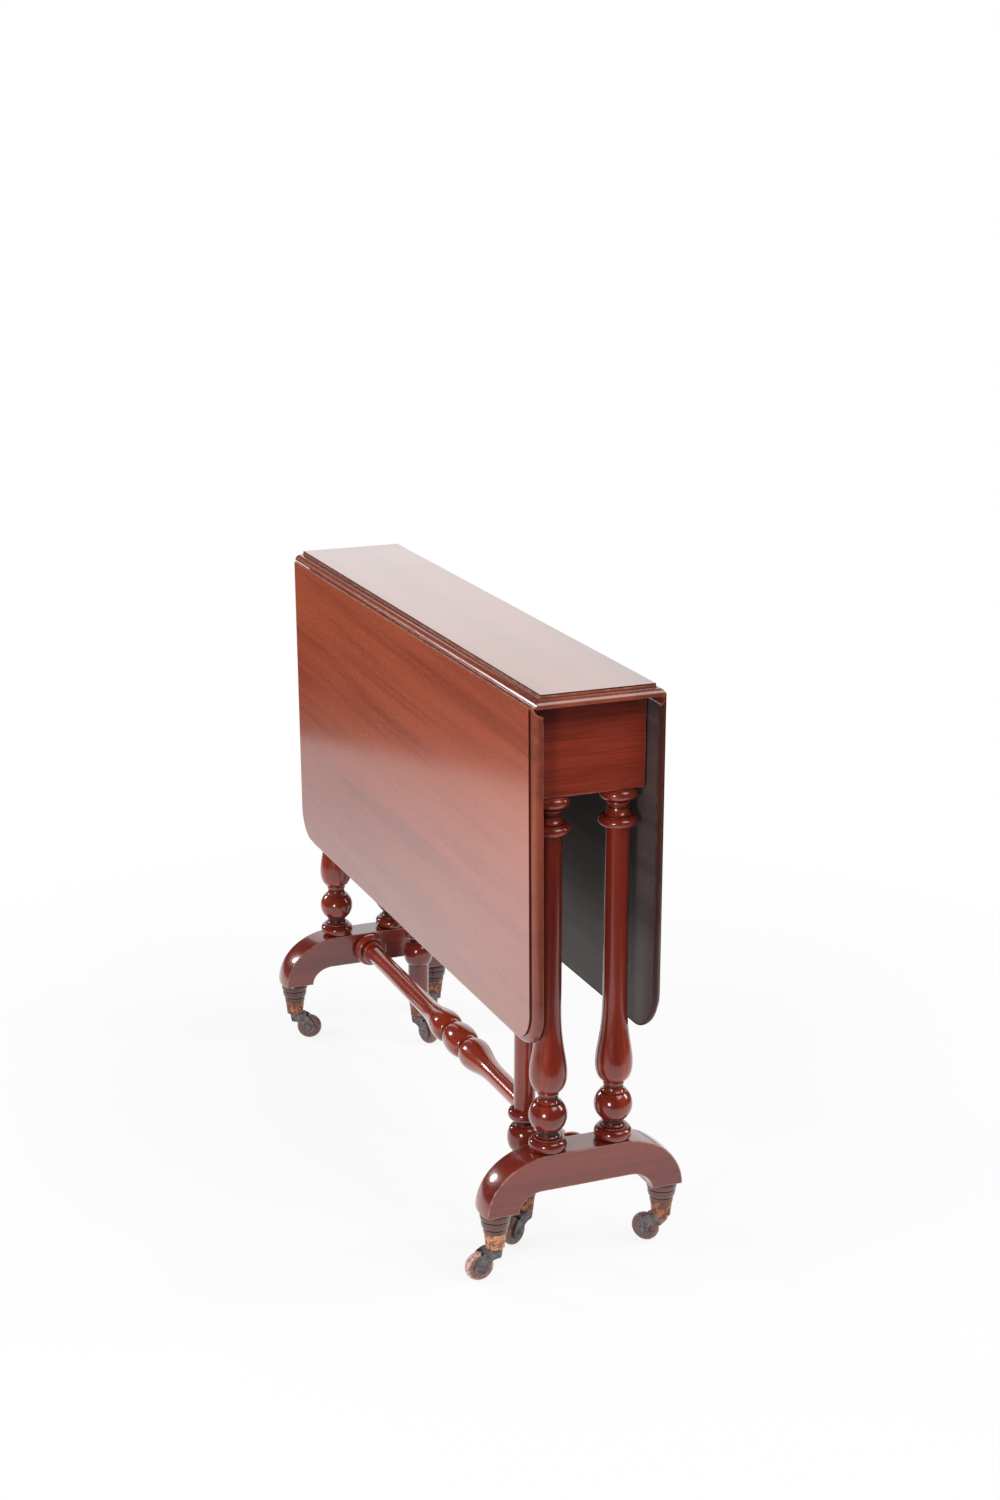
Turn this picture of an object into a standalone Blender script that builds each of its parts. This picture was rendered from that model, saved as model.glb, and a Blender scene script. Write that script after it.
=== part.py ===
"""A Sutherland table: a narrow top on two turned trestle ends, with two deep drop leaves.

The table stands on z = 0 with its length along X and its front towards -Y, and its origin is on the
floor under the middle of the top. Each leaf hangs on a rule joint. Behind each leaf is a gate, a
turned leg on a fly rail, which swings out on a wooden knuckle to hold the leaf up. The two sides are
alike after half a turn about Z, and so are the two ends. All sizes are in metres.
"""

import math

import bmesh
import bpy

# Whole table
HEIGHT = 0.720
TOP_LENGTH = 0.862
UNDERSIDE = 0.706                      # underside of the top
SEAT_GAP = 0.0003                      # clearance between pieces that touch
MERGE = 0.00001

# Rule joint: the top's quarter round and the leaf's cove are both struck from the hinge axis
HINGE_Y = 0.0713
HINGE_Z = 0.7066
OVOLO = 0.0085                         # quarter round, which runs round all four edges of the top
TOP_FILLET = 0.0016
TOP_SLOPE = 0.0007                     # how far the slope between fillet and quarter round comes out
COVE_GAP = 0.0008                      # play between the quarter round and the cove
COVE_TIP = 0.0002                      # leaf's upper tip, out from the hinge axis
OVOLO_STEPS = 4
TOP_WIDTH = 2 * (HINGE_Y + OVOLO)

# Leaves, with a fillet over a quarter round on their other three edges
LEAF_REACH = 0.4131                    # hinge axis to outer edge
LEAF_CORNER = 0.050
LEAF_FILLET = 0.0026
LEAF_ROUND = 0.0100
LEAF_LEAN = {"front": math.radians(0.57), "back": 0.0}   # how far in each leaf hangs from plumb

# Leaf hinges, screwed to the undersides
HINGE_X = 0.240
HINGE_LENGTH = 0.046
PLATE = 0.0012
PLATE_LOW = UNDERSIDE - HINGE_Z - SEAT_GAP - PLATE       # lower face of the flaps, from the hinge axis
BARREL_R = 0.0024
GROOVE_PLAY = 0.0005
PIN_R = 0.0011
PIN_PLAY = 0.0004
KNUCKLE = 0.0145                       # length of each end knuckle
FIXED_FLAP = 0.027
LEAF_FLAP = 0.058
FLAP_START = BARREL_R + 2 * SEAT_GAP
STRAP_STEP = 0.0002                    # straps are this much thinner than the flaps on each face
STRAP_LAP = 0.0010

# Trestle ends
TRESTLE_X = 0.388
COLUMN_Y = 0.0423
RAIL_OUTER_X = 0.404
RAIL_THICK = 0.030
RAIL_HALF_WIDTH = 0.0685
RAIL_BOTTOM = 0.593
TENON_R = 0.009
TENON_LENGTH = 0.022

# Arched feet
FOOT_THICK = 0.041
FOOT_TOP = 0.1545
FOOT_BOTTOM = 0.086
FOOT_REACH = 0.1266
FOOT_FLAT = 0.046                      # half length of the flat on top
FOOT_CROWN = 0.0034                    # how far its ends swell between its two faces
ARCH_TOP = 0.110
ARCH_FLAT = 0.057                      # half length of the flat under the arch
ARCH_REACH = 0.0865

# Stretcher
STRETCHER_Z = 0.131
STRETCHER_TENON = 0.015

# Core rails, gates and their knuckles
CORE_INNER_Y = 0.0095
CORE_OUTER_Y = 0.0296
CORE_BOTTOM = 0.622
GATE_Y = 0.040                         # knuckle pin and gate leg, gate shut
GATE_RADIUS = 0.3125                   # knuckle pin to gate leg
GATE_REST = {"front": 0.0, "back": math.radians(3.0)}   # how far open each gate stands
FLY_THICK = 0.020
FLY_BOTTOM = 0.622
FLY_TOP = 0.694
STUB_LENGTH = 0.160
FINGERS = 5
FINGER_GAP = 0.0005
FINGER_CLEAR = 0.0108                  # depth of the slots between fingers, from the pin
KNUCKLE_PIN_R = 0.003
GATE_HEAD = 0.027
GATE_HEAD_BOTTOM = 0.588

# Castors
PEG_Y = 0.1092
CUP_TOP = 0.0595
CUP_BOTTOM = 0.0390
CUP_R = 0.0132
CUP_FLOOR = 0.0445
SPIGOT_R = 0.0110                      # end of the wooden peg inside the cup
SPIGOT_END_R = 0.0093
WHEEL_R = 0.0177
WHEEL_WIDTH = 0.0115
WHEEL_PLAY = 0.0006
CHEEK = 0.0028
FORK_WIDTH = WHEEL_WIDTH + 2 * (WHEEL_PLAY + CHEEK)
TRAIL = 0.0205
SWIVEL_R = 0.0030
SWIVEL_LENGTH = 0.0060
AXLE_R = 0.0022
AXLE_HEAD_R = 0.0040
AXLE_HEAD = 0.0012
BORE_PLAY = 0.0004

TURN_STEPS = 12
WHEEL_STEPS = 16
AXLE_STEPS = 8

# Finishes: colour, roughness, metallic
MAHOGANY = ((0.20, 0.045, 0.020), 0.22, 0.0)
LEAF_WOOD = ((0.30, 0.085, 0.040), 0.25, 0.0)
DARK_WOOD = ((0.10, 0.045, 0.032), 0.45, 0.0)
RAW_WOOD = ((0.16, 0.095, 0.060), 0.65, 0.0)
BRASS = ((0.58, 0.33, 0.13), 0.40, 0.9)
IRON = ((0.12, 0.105, 0.10), 0.50, 0.7)
TREAD = ((0.16, 0.080, 0.065), 0.55, 0.0)

SIDES = {"front": math.pi, "back": 0.0}          # turn about Z that carries the back side to each
ENDS = {"right": 1, "left": -1}
# Way each castor trails, in degrees about Z
HEADINGS = {"right_front": -90, "right_back": 218, "left_front": 67, "left_back": 175,
            "front_gate": -62, "back_gate": 22}


class Turning:
    """Profile of a turned piece: (radius, height) points from the top down."""

    def __init__(self, top):
        self.z = top
        self.points = [(0.0, top)]

    def _add(self, radius, z):
        last_radius, last_z = self.points[-1]
        if abs(radius - last_radius) > MERGE or abs(z - last_z) > MERGE:
            self.points.append((radius, z))

    def band(self, radius, length, end_radius=None):
        """Plain or tapered band."""
        self._add(radius, self.z)
        self.z -= length
        self._add(radius if end_radius is None else end_radius, self.z)
        return self

    def taper(self, radius, length):
        """Cone from the last radius."""
        self.z -= length
        self._add(radius, self.z)
        return self

    def rise(self, radius, length, steps=2):
        """Round that leaves the last radius flat and turns down at a wider one."""
        start = self.points[-1][0]
        for step in range(1, steps + 1):
            angle = math.pi / 2 * step / steps
            self._add(start + (radius - start) * math.sin(angle), self.z - length * (1 - math.cos(angle)))
        self.z -= length
        return self

    def bead(self, radius, edge, length, steps=2):
        """Half-round bead that swells from its edge radius and back."""
        self._add(edge, self.z)
        return self.rise(radius, length / 2, steps).shoulder(edge, length / 2, steps)

    def flare(self, radius, length, steps=2):
        """Hollow that leaves the last radius straight and runs out flat."""
        start = self.points[-1][0]
        for step in range(1, steps + 1):
            angle = math.pi / 2 * step / steps
            self._add(start + (radius - start) * (1 - math.cos(angle)), self.z - length * math.sin(angle))
        self.z -= length
        return self

    def shoulder(self, radius, length, steps=2):
        """Round shoulder that leaves the last radius straight and turns in."""
        start = self.points[-1][0]
        for step in range(1, steps + 1):
            angle = math.pi / 2 * step / steps
            self._add(radius + (start - radius) * math.cos(angle), self.z - length * math.sin(angle))
        self.z -= length
        return self

    def swell(self, radius, length, steps=4, lag=2.0):
        """Long swelling to a new radius, slow at first."""
        start = self.points[-1][0]
        for step in range(1, steps + 1):
            share = (1 - math.cos(math.pi * (step / steps) ** lag)) / 2
            self._add(start + (radius - start) * share, self.z - length * step / steps)
        self.z -= length
        return self

    def close(self):
        """End of the piece, on its axis."""
        self._add(0.0, self.z)
        return self.points


def clear_scene():
    """Start from nothing."""
    for obj in list(bpy.data.objects):
        bpy.data.objects.remove(obj, do_unlink=True)


def new_collection(name):
    """Collection linked to the scene."""
    collection = bpy.data.collections.new(name)
    bpy.context.scene.collection.children.link(collection)
    return collection


clear_scene()
PARTS = new_collection("sutherland_table")
CUTTERS = new_collection("cutters")


def make_material(name, finish):
    """Principled material for one piece."""
    colour, roughness, metallic = finish
    material = bpy.data.materials.new(name)
    material.use_nodes = True
    shader = material.node_tree.nodes["Principled BSDF"]
    shader.inputs["Base Color"].default_value = (*colour, 1.0)
    shader.inputs["Roughness"].default_value = roughness
    shader.inputs["Metallic"].default_value = metallic
    return material


def place(obj, collection, parent, location, rotation):
    """Link an object and set where it is."""
    collection.objects.link(obj)
    obj.parent = parent
    obj.location = location
    obj.rotation_euler = rotation
    return obj


def add_part(name, mesh, finish, parent=None, location=(0, 0, 0), rotation=(0, 0, 0)):
    """Named piece of the table with its own material."""
    mesh.name = name
    mesh.materials.append(make_material(name, finish))
    return place(bpy.data.objects.new(name, mesh), PARTS, parent, location, rotation)


def add_axis(name, parent=None, location=(0, 0, 0), rotation=(0, 0, 0)):
    """Empty on a joint's axis or at a sub-assembly's reference point."""
    return place(bpy.data.objects.new(name, None), PARTS, parent, location, rotation)


def add_cutter(name, mesh, parent=None, location=(0, 0, 0), rotation=(0, 0, 0)):
    """Shape used only by a Boolean."""
    cutter = place(bpy.data.objects.new(name, mesh), CUTTERS, parent, location, rotation)
    cutter.hide_render = True
    cutter.display_type = "WIRE"
    return cutter


def combine(target, tool, operation="DIFFERENCE"):
    """Cut a tool shape from a piece, or join it on."""
    modifier = target.modifiers.new(tool.name, "BOOLEAN")
    modifier.operation = operation
    modifier.object = tool
    modifier.solver = "EXACT"


def to_mesh(bm, name):
    """Mesh from a bmesh, with its normals out."""
    bmesh.ops.recalc_face_normals(bm, faces=bm.faces)
    mesh = bpy.data.meshes.new(name)
    bm.to_mesh(mesh)
    bm.free()
    return mesh


def box_mesh(name, low, high):
    """Box between two corners."""
    bm = bmesh.new()
    bmesh.ops.create_cube(bm, size=1.0)
    size = [b - a for a, b in zip(low, high)]
    bmesh.ops.scale(bm, vec=size, verts=bm.verts)
    bmesh.ops.translate(bm, vec=[(a + b) / 2 for a, b in zip(low, high)], verts=bm.verts)
    return to_mesh(bm, name)


def rod_mesh(name, radius, bottom, top, segments=TURN_STEPS):
    """Plain cylinder on the Z axis between two heights."""
    bm = bmesh.new()
    bmesh.ops.create_cone(bm, cap_ends=True, segments=segments, radius1=radius, radius2=radius,
                          depth=top - bottom)
    bmesh.ops.translate(bm, vec=(0, 0, (top + bottom) / 2), verts=bm.verts)
    return to_mesh(bm, name)


def outline_mesh(name, points, thickness):
    """Flat outline in XY, extruded to both sides of z = 0."""
    curve = bpy.data.curves.new(name, "CURVE")
    curve.dimensions = "2D"
    curve.fill_mode = "BOTH"
    curve.extrude = thickness / 2
    spline = curve.splines.new("POLY")
    spline.points.add(len(points) - 1)
    for point, (x, y) in zip(spline.points, points):
        point.co = (x, y, 0.0, 1.0)
    spline.use_cyclic_u = True
    guide = bpy.data.objects.new(name, curve)
    CUTTERS.objects.link(guide)
    depsgraph = bpy.context.evaluated_depsgraph_get()
    filled = bpy.data.meshes.new_from_object(guide.evaluated_get(depsgraph))
    bpy.data.objects.remove(guide)
    bm = bmesh.new()
    bm.from_mesh(filled)
    bmesh.ops.remove_doubles(bm, verts=bm.verts, dist=MERGE)
    return to_mesh(bm, name)


def loft_mesh(name, loops):
    """Solid through a stack of closed loops that have the same number of points."""
    bm = bmesh.new()
    rings = []
    for loop in loops:
        verts = [bm.verts.new(point) for point in loop]
        rings.append([bm.edges.new(pair) for pair in zip(verts, verts[1:] + verts[:1])])
    for lower, upper in zip(rings, rings[1:]):
        bmesh.ops.bridge_loops(bm, edges=lower + upper)
    for end in (rings[0], rings[-1]):
        bmesh.ops.edgeloop_fill(bm, edges=end)
    return to_mesh(bm, name)


def add_turned(name, points, finish, steps=TURN_STEPS, closed=False, **where):
    """Turned piece: a profile swept round its Z axis."""
    mesh = bpy.data.meshes.new(name)
    edges = [(i, i + 1) for i in range(len(points) - 1)]
    if closed:
        edges.append((len(points) - 1, 0))
    mesh.from_pydata([(radius, 0.0, z) for radius, z in points], edges, [])
    piece = add_part(name, mesh, finish, **where)
    screw = piece.modifiers.new("turn", "SCREW")
    screw.steps = steps
    screw.render_steps = steps
    screw.use_merge_vertices = True
    screw.merge_threshold = MERGE
    return piece


def arc(centre, radii, start, end, steps):
    """Points of an elliptic arc, angles in degrees."""
    angles = [math.radians(start + (end - start) * i / steps) for i in range(steps + 1)]
    return [(centre[0] + radii[0] * math.cos(a), centre[1] + radii[1] * math.sin(a)) for a in angles]


def quarter_steps():
    """Angles of a quarter round's corners, ends included."""
    return [math.pi / 2 * step / OVOLO_STEPS for step in range(OVOLO_STEPS + 1)]


def top_levels():
    """(inset, height) steps of the top's moulded edge, heights from the hinge axis."""
    levels = [(0.0, UNDERSIDE - HINGE_Z)]
    levels += [(OVOLO * (1 - math.cos(angle)), OVOLO * math.sin(angle)) for angle in quarter_steps()]
    top = HEIGHT - HINGE_Z
    return levels + [(OVOLO + TOP_SLOPE, top - TOP_FILLET), (OVOLO + TOP_SLOPE, top)]


def build_top():
    """Fixed top, with the moulding round all four edges."""
    loops = []
    for inset, height in top_levels():
        x, y, z = TOP_LENGTH / 2 - inset, TOP_WIDTH / 2 - inset, HINGE_Z + height
        loops.append([(-x, -y, z), (x, -y, z), (x, y, z), (-x, y, z)])
    return add_part("centre_top", loft_mesh("centre_top", loops), LEAF_WOOD)


def leaf_levels():
    """(inset, cove, height) steps of a leaf from its underside up, cove and height from the hinge axis."""
    low, top, reach = UNDERSIDE - HINGE_Z, HEIGHT - HINGE_Z, OVOLO + COVE_GAP
    centre = top - LEAF_FILLET - LEAF_ROUND
    heights = [low] + [centre + LEAF_ROUND * math.sin(angle) for angle in quarter_steps()] + [top]
    heights += [reach * math.sin(math.radians(74)), math.sqrt(reach ** 2 - COVE_TIP ** 2)]
    levels = []
    for height in sorted(heights):
        above = min(max(height - centre, 0.0), LEAF_ROUND)
        inset = LEAF_ROUND - math.sqrt(LEAF_ROUND ** 2 - above ** 2)
        levels.append((inset, math.sqrt(max(reach ** 2 - height ** 2, COVE_TIP ** 2)), height))
    return levels


def leaf_mesh(name):
    """Leaf lying flat: X along the table, Y out from the hinge axis at the origin."""
    loops = []
    for inset, cove, height in leaf_levels():
        x, radius = TOP_LENGTH / 2 - inset, LEAF_CORNER - inset
        far = LEAF_REACH - inset - radius
        outline = [(-x, cove), (x, cove)]
        outline += arc((x - radius, far), (radius, radius), 0, 90, 6)
        outline += arc((radius - x, far), (radius, radius), 90, 180, 6)
        loops.append([(u, v, height) for u, v in outline])
    return loft_mesh(name, loops)


def knuckle_outline():
    """Section of a hinge knuckle: the barrel, and the strap that joins it to its flap along +X."""
    bottom, top = PLATE_LOW + STRAP_STEP, PLATE_LOW + PLATE - STRAP_STEP
    start, end = (math.degrees(math.asin(z / BARREL_R)) for z in (top, bottom))
    reach = FLAP_START + STRAP_LAP
    return [(reach, bottom), (reach, top)] + arc((0, 0), (BARREL_R, BARREL_R), start, end + 360, 6)


def add_knuckle(flap, name, axis, x, length, towards):
    """Join a knuckle to a flap that lies towards +Y (1) or -Y (-1) of the hinge axis."""
    mesh = outline_mesh(name, knuckle_outline(), length)
    turn = (math.pi / 2, 0, towards * math.pi / 2)
    combine(flap, add_cutter(name, mesh, axis, (x, 0, 0), turn), "UNION")


def build_hinge(name, rule_axis, leaf_axis, top, x):
    """One rule-joint hinge: a short flap under the top, a long one under the leaf."""
    half = HINGE_LENGTH / 2
    middle = half - KNUCKLE
    at, along_x = (x, 0, 0), (0, math.pi / 2, 0)
    high = PLATE_LOW + PLATE

    groove = rod_mesh("groove", BARREL_R + GROOVE_PLAY, -half - GROOVE_PLAY, half + GROOVE_PLAY)
    combine(top, add_cutter(name + "_groove", groove, rule_axis, at, along_x))

    plate = box_mesh("plate", (-half, -FIXED_FLAP, PLATE_LOW), (half, -FLAP_START, high))
    fixed = add_part(name + "_top_flap", plate, BRASS, rule_axis, at)
    for end in (-1, 1):
        centre = x + end * (middle + KNUCKLE / 2)
        add_knuckle(fixed, f"{name}_end_knuckle_{end}", rule_axis, centre, KNUCKLE - 2 * SEAT_GAP, -1)
    pin = rod_mesh("pin", PIN_R, -half + KNUCKLE / 2, half - KNUCKLE / 2, AXLE_STEPS)
    combine(fixed, add_cutter(name + "_pin", pin, rule_axis, at, along_x), "UNION")

    plate = box_mesh("plate", (-half, FLAP_START, PLATE_LOW), (half, LEAF_FLAP, high))
    moving = add_part(name + "_leaf_flap", plate, BRASS, leaf_axis, at)
    add_knuckle(moving, name + "_middle_knuckle", leaf_axis, x, 2 * middle, 1)
    bore = rod_mesh("bore", PIN_R + PIN_PLAY, -half, half, AXLE_STEPS)
    combine(moving, add_cutter(name + "_bore", bore, leaf_axis, at, along_x))


def build_leaf(side, top):
    """Drop leaf, hanging, with its two hinges."""
    turn = SIDES[side]
    y = HINGE_Y * math.cos(turn)
    rule_axis = add_axis(side + "_rule_axis", None, (0, y, HINGE_Z), (0, 0, turn))
    hang = -math.pi / 2 - LEAF_LEAN[side]
    leaf_axis = add_axis(side + "_leaf_axis", rule_axis, rotation=(hang, 0, 0))
    name = side + "_leaf"
    add_part(name, leaf_mesh(name), LEAF_WOOD, leaf_axis)
    for end, sign in ENDS.items():
        x = HINGE_X * sign * math.cos(turn)
        build_hinge(f"{side}_{end}_hinge", rule_axis, leaf_axis, top, x)


def drill(piece, name, radius, depth, parent, location, rotation=(0, 0, 0), steps=TURN_STEPS):
    """Blind round hole, entering a piece along local -Z at a point of its surface."""
    hole = rod_mesh(name, radius, -depth, SEAT_GAP * 4, steps)
    combine(piece, add_cutter(name, hole, parent, location, rotation))


def column_profile():
    """Trestle column from its upper tenon to its lower one."""
    turning = Turning(RAIL_BOTTOM + TENON_LENGTH)
    turning.band(TENON_R, TENON_LENGTH + SEAT_GAP)
    turning.bead(radius=0.0212, edge=0.0160, length=0.0172)
    turning.band(0.0135, 0.0020)
    turning.taper(0.0112, length=0.0040)
    turning.flare(0.0172, length=0.0095)
    turning.bead(radius=0.0216, edge=0.0170, length=0.0135)
    turning.band(0.0150, 0.0025)
    turning.band(0.0138, 0.1840, end_radius=0.0146)
    turning.swell(0.0216, length=0.1095)
    turning.shoulder(0.0112, length=0.0245)
    turning.band(0.0100, 0.0055)
    turning.taper(0.0130, length=0.0060)
    turning.bead(radius=0.0222, edge=0.0130, length=0.0360)
    turning.band(0.0108, 0.0035)
    turning.taper(0.0186, length=0.0075)
    turning.bead(radius=0.0217, edge=0.0186, length=turning.z - FOOT_TOP - SEAT_GAP)
    turning.band(TENON_R, TENON_LENGTH)
    return turning.close()


def foot_outline(reach):
    """Arched foot seen from the end: half of it, then its mirror image."""
    outer = arc((FOOT_FLAT, FOOT_BOTTOM), (reach - FOOT_FLAT, FOOT_TOP - FOOT_BOTTOM), 90, 0, 9)
    inner = arc((ARCH_FLAT, FOOT_BOTTOM), (ARCH_REACH - ARCH_FLAT, ARCH_TOP - FOOT_BOTTOM), 0, 90, 5)
    half = outer + inner
    return half + [(-y, z) for y, z in reversed(half)]


def foot_mesh(name):
    """Arched foot with crowned ends, its thickness along local Z."""
    loops = []
    for share in (-1, -1 / 3, 1 / 3, 1):
        outline = foot_outline(FOOT_REACH + FOOT_CROWN * (1 - share ** 2))
        loops.append([(y, z, share * FOOT_THICK / 2) for y, z in outline])
    return loft_mesh(name, loops)


def build_trestle(end):
    """End rail, two columns and the arched foot of one end."""
    sign = ENDS[end]
    trestle = add_axis(end + "_trestle", None, (0, 0, 0), (0, 0, 0 if sign > 0 else math.pi))
    rail_mesh = box_mesh(end, (RAIL_OUTER_X - RAIL_THICK, -RAIL_HALF_WIDTH, RAIL_BOTTOM),
                         (RAIL_OUTER_X, RAIL_HALF_WIDTH, UNDERSIDE - SEAT_GAP))
    rail = add_part(end + "_end_rail", rail_mesh, MAHOGANY, trestle)
    upright = (math.pi / 2, 0, math.pi / 2)
    foot = add_part(end + "_foot", foot_mesh(end), MAHOGANY, trestle, (TRESTLE_X, 0, 0), upright)
    for face, local_sign in (("front", -sign), ("back", sign)):
        name = f"{end}_{face}"
        where = (TRESTLE_X, COLUMN_Y * local_sign, 0)
        add_turned(name + "_column", column_profile(), MAHOGANY, parent=trestle, location=where)
        mortise_r = TENON_R + SEAT_GAP
        drill(rail, name + "_rail_mortise", mortise_r, TENON_LENGTH + SEAT_GAP, trestle,
              (where[0], where[1], RAIL_BOTTOM), (math.pi, 0, 0))
        drill(foot, name + "_foot_mortise", mortise_r, TENON_LENGTH + 2 * SEAT_GAP, trestle,
              (where[0], where[1], FOOT_TOP))
        peg_at = (TRESTLE_X, PEG_Y * local_sign, 0)
        add_turned(name + "_peg", peg_profile(), DARK_WOOD, parent=trestle, location=peg_at)
        drill(foot, name + "_peg_mortise", mortise_r, TENON_LENGTH + SEAT_GAP, trestle,
              (peg_at[0], peg_at[1], FOOT_BOTTOM), (math.pi, 0, 0))
        heading = math.radians(HEADINGS[name]) - trestle.rotation_euler.z
        build_castor(name, trestle, peg_at, heading)
    drill(foot, end + "_stretcher_mortise", TENON_R + SEAT_GAP, STRETCHER_TENON + SEAT_GAP, trestle,
          (TRESTLE_X - FOOT_THICK / 2, 0, STRETCHER_Z), (0, -math.pi / 2, 0))


def build_stretcher():
    """Turned stretcher between the feet, alike on both sides of its middle ball."""
    inner_face = TRESTLE_X - FOOT_THICK / 2
    turning = Turning(inner_face + STRETCHER_TENON)
    turning.band(TENON_R, STRETCHER_TENON + SEAT_GAP)
    turning.bead(radius=0.0235, edge=0.0190, length=0.0150)
    turning.band(0.0140, 0.0025)
    turning.bead(radius=0.0172, edge=0.0145, length=0.0080)
    turning.band(0.0122, 0.1900, end_radius=0.0130)
    turning.swell(0.0215, length=turning.z - 0.0520)
    turning.shoulder(0.0125, length=0.0185)
    turning.band(0.0108, 0.0070)
    turning.rise(0.0222, length=turning.z)
    half = turning.points
    points = half + [(radius, -z) for radius, z in reversed(half[:-1])]
    add_turned("stretcher", points, MAHOGANY, location=(0, 0, STRETCHER_Z), rotation=(0, math.pi / 2, 0))


def peg_profile():
    """Turned peg under a foot: tenon, moulded pad and the spigot that the cup holds."""
    turning = Turning(FOOT_BOTTOM + TENON_LENGTH)
    turning.band(TENON_R, TENON_LENGTH + SEAT_GAP)
    turning.band(0.0180, 0.0100)
    turning.shoulder(0.0150, length=0.0090)
    turning.band(0.0136, turning.z - CUP_TOP - SEAT_GAP)
    turning.band(SPIGOT_R, CUP_TOP - CUP_FLOOR, end_radius=SPIGOT_END_R)
    return turning.close()


def gate_leg_profile():
    """Gate leg below its square head, down to the spigot in the castor's cup."""
    turning = Turning(GATE_HEAD_BOTTOM + 0.012)
    turning.band(0.0095, 0.0125)
    turning.bead(radius=0.0136, edge=0.0115, length=0.0120)
    turning.band(0.0124, turning.z - 0.1745, end_radius=0.0132)
    turning.bead(radius=0.0205, edge=0.0145, length=0.0145)
    turning.band(0.0112, 0.0040)
    turning.taper(0.0135, length=0.0035)
    turning.bead(radius=0.0212, edge=0.0135, length=0.0330)
    turning.band(0.0150, turning.z - CUP_TOP - SEAT_GAP, end_radius=0.0136)
    turning.band(SPIGOT_R, CUP_TOP - CUP_FLOOR, end_radius=SPIGOT_END_R)
    return turning.close()


def knuckle_rail_outline(length, width):
    """Plan of a rail whose end is rounded about the knuckle pin at the origin."""
    radius = width / 2
    return [(length, -radius), (length, radius)] + arc((0, 0), (radius, radius), 90, 270, 5)


def cut_fingers(rail, name, parent, first, turn):
    """Slots for the other rail's fingers, and the hole for the knuckle pin."""
    step = (FLY_TOP - FLY_BOTTOM) / FINGERS
    for finger in range(first, FINGERS, 2):
        low = FLY_BOTTOM + finger * step - FINGER_GAP
        high = low + step + 2 * FINGER_GAP
        slot = box_mesh("slot", (-FLY_THICK, -FLY_THICK, low), (FINGER_CLEAR, FLY_THICK, high))
        combine(rail, add_cutter(f"{name}_slot_{finger}", slot, parent, (0, 0, 0), (0, 0, turn)))
    hole = rod_mesh("hole", KNUCKLE_PIN_R + BORE_PLAY, FLY_BOTTOM - FLY_THICK, FLY_TOP + FLY_THICK,
                    AXLE_STEPS)
    combine(rail, add_cutter(name + "_pin_hole", hole, parent))


def build_gate(side):
    """Fixed stub, knuckle pin, fly rail, gate leg and castor of one side."""
    turn = SIDES[side] - math.pi
    pivot = (0, -GATE_Y * math.cos(turn), 0)
    fixed = add_axis(side + "_knuckle_axis", None, pivot, (0, 0, turn))
    gate = add_axis(side + "_gate_axis", fixed, (0, 0, 0), (0, 0, -GATE_REST[side]))
    height, middle = FLY_TOP - FLY_BOTTOM, (FLY_TOP + FLY_BOTTOM) / 2

    name = side + "_stub_rail"
    mesh = outline_mesh(name, knuckle_rail_outline(STUB_LENGTH, FLY_THICK), height)
    stub = add_part(name, mesh, RAW_WOOD, fixed, (0, 0, middle), (0, 0, math.pi))
    cut_fingers(stub, name, fixed, 1, math.pi)
    pin = rod_mesh("pin", KNUCKLE_PIN_R, FLY_BOTTOM - SEAT_GAP, FLY_TOP + SEAT_GAP, AXLE_STEPS)
    add_part(side + "_knuckle_pin", pin, IRON, fixed)

    name = side + "_fly_rail"
    length = GATE_RADIUS - GATE_HEAD / 2 - SEAT_GAP
    mesh = outline_mesh(name, knuckle_rail_outline(length, FLY_THICK), height)
    fly = add_part(name, mesh, RAW_WOOD, gate, (0, 0, middle))
    cut_fingers(fly, name, gate, 0, 0.0)

    leg_at = (GATE_RADIUS, 0, 0)
    leg = add_turned(side + "_gate_leg", gate_leg_profile(), MAHOGANY, parent=gate, location=leg_at)
    half = GATE_HEAD / 2
    head = box_mesh("head", (-half, -FLY_THICK / 2, GATE_HEAD_BOTTOM),
                    (half, FLY_THICK / 2, UNDERSIDE - 2 * SEAT_GAP))
    combine(leg, add_cutter(side + "_gate_head", head, gate, leg_at), "UNION")
    heading = math.radians(HEADINGS[side + "_gate"]) - turn + GATE_REST[side]
    build_castor(side + "_gate", gate, leg_at, heading)


def cup_profile():
    """Brass cup: hollow for the peg's spigot above, riveted swivel pin below."""
    wall = SEAT_GAP
    return [(0.0, CUP_FLOOR - wall), (SPIGOT_END_R + wall, CUP_FLOOR - wall), (SPIGOT_R + wall, CUP_TOP),
            (CUP_R, CUP_TOP), (CUP_R, CUP_TOP - 0.0025), (0.0106, CUP_BOTTOM), (SWIVEL_R, CUP_BOTTOM),
            (SWIVEL_R, CUP_BOTTOM - SWIVEL_LENGTH), (0.0, CUP_BOTTOM - SWIVEL_LENGTH)]


def fork_outline():
    """Fork seen from the side: X along the trail, Y up, axle at (TRAIL, WHEEL_R)."""
    crown = CUP_BOTTOM - SEAT_GAP
    back = [(0.0100, crown), (-0.0060, crown), (-0.0040, 0.0278), (0.0072, 0.0252), (0.0121, 0.0195)]
    end = arc((TRAIL, WHEEL_R), (0.0083, 0.0083), 185, 380, 6)
    return back + end + [(0.0238, 0.0300), (0.0165, 0.0365)]


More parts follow.
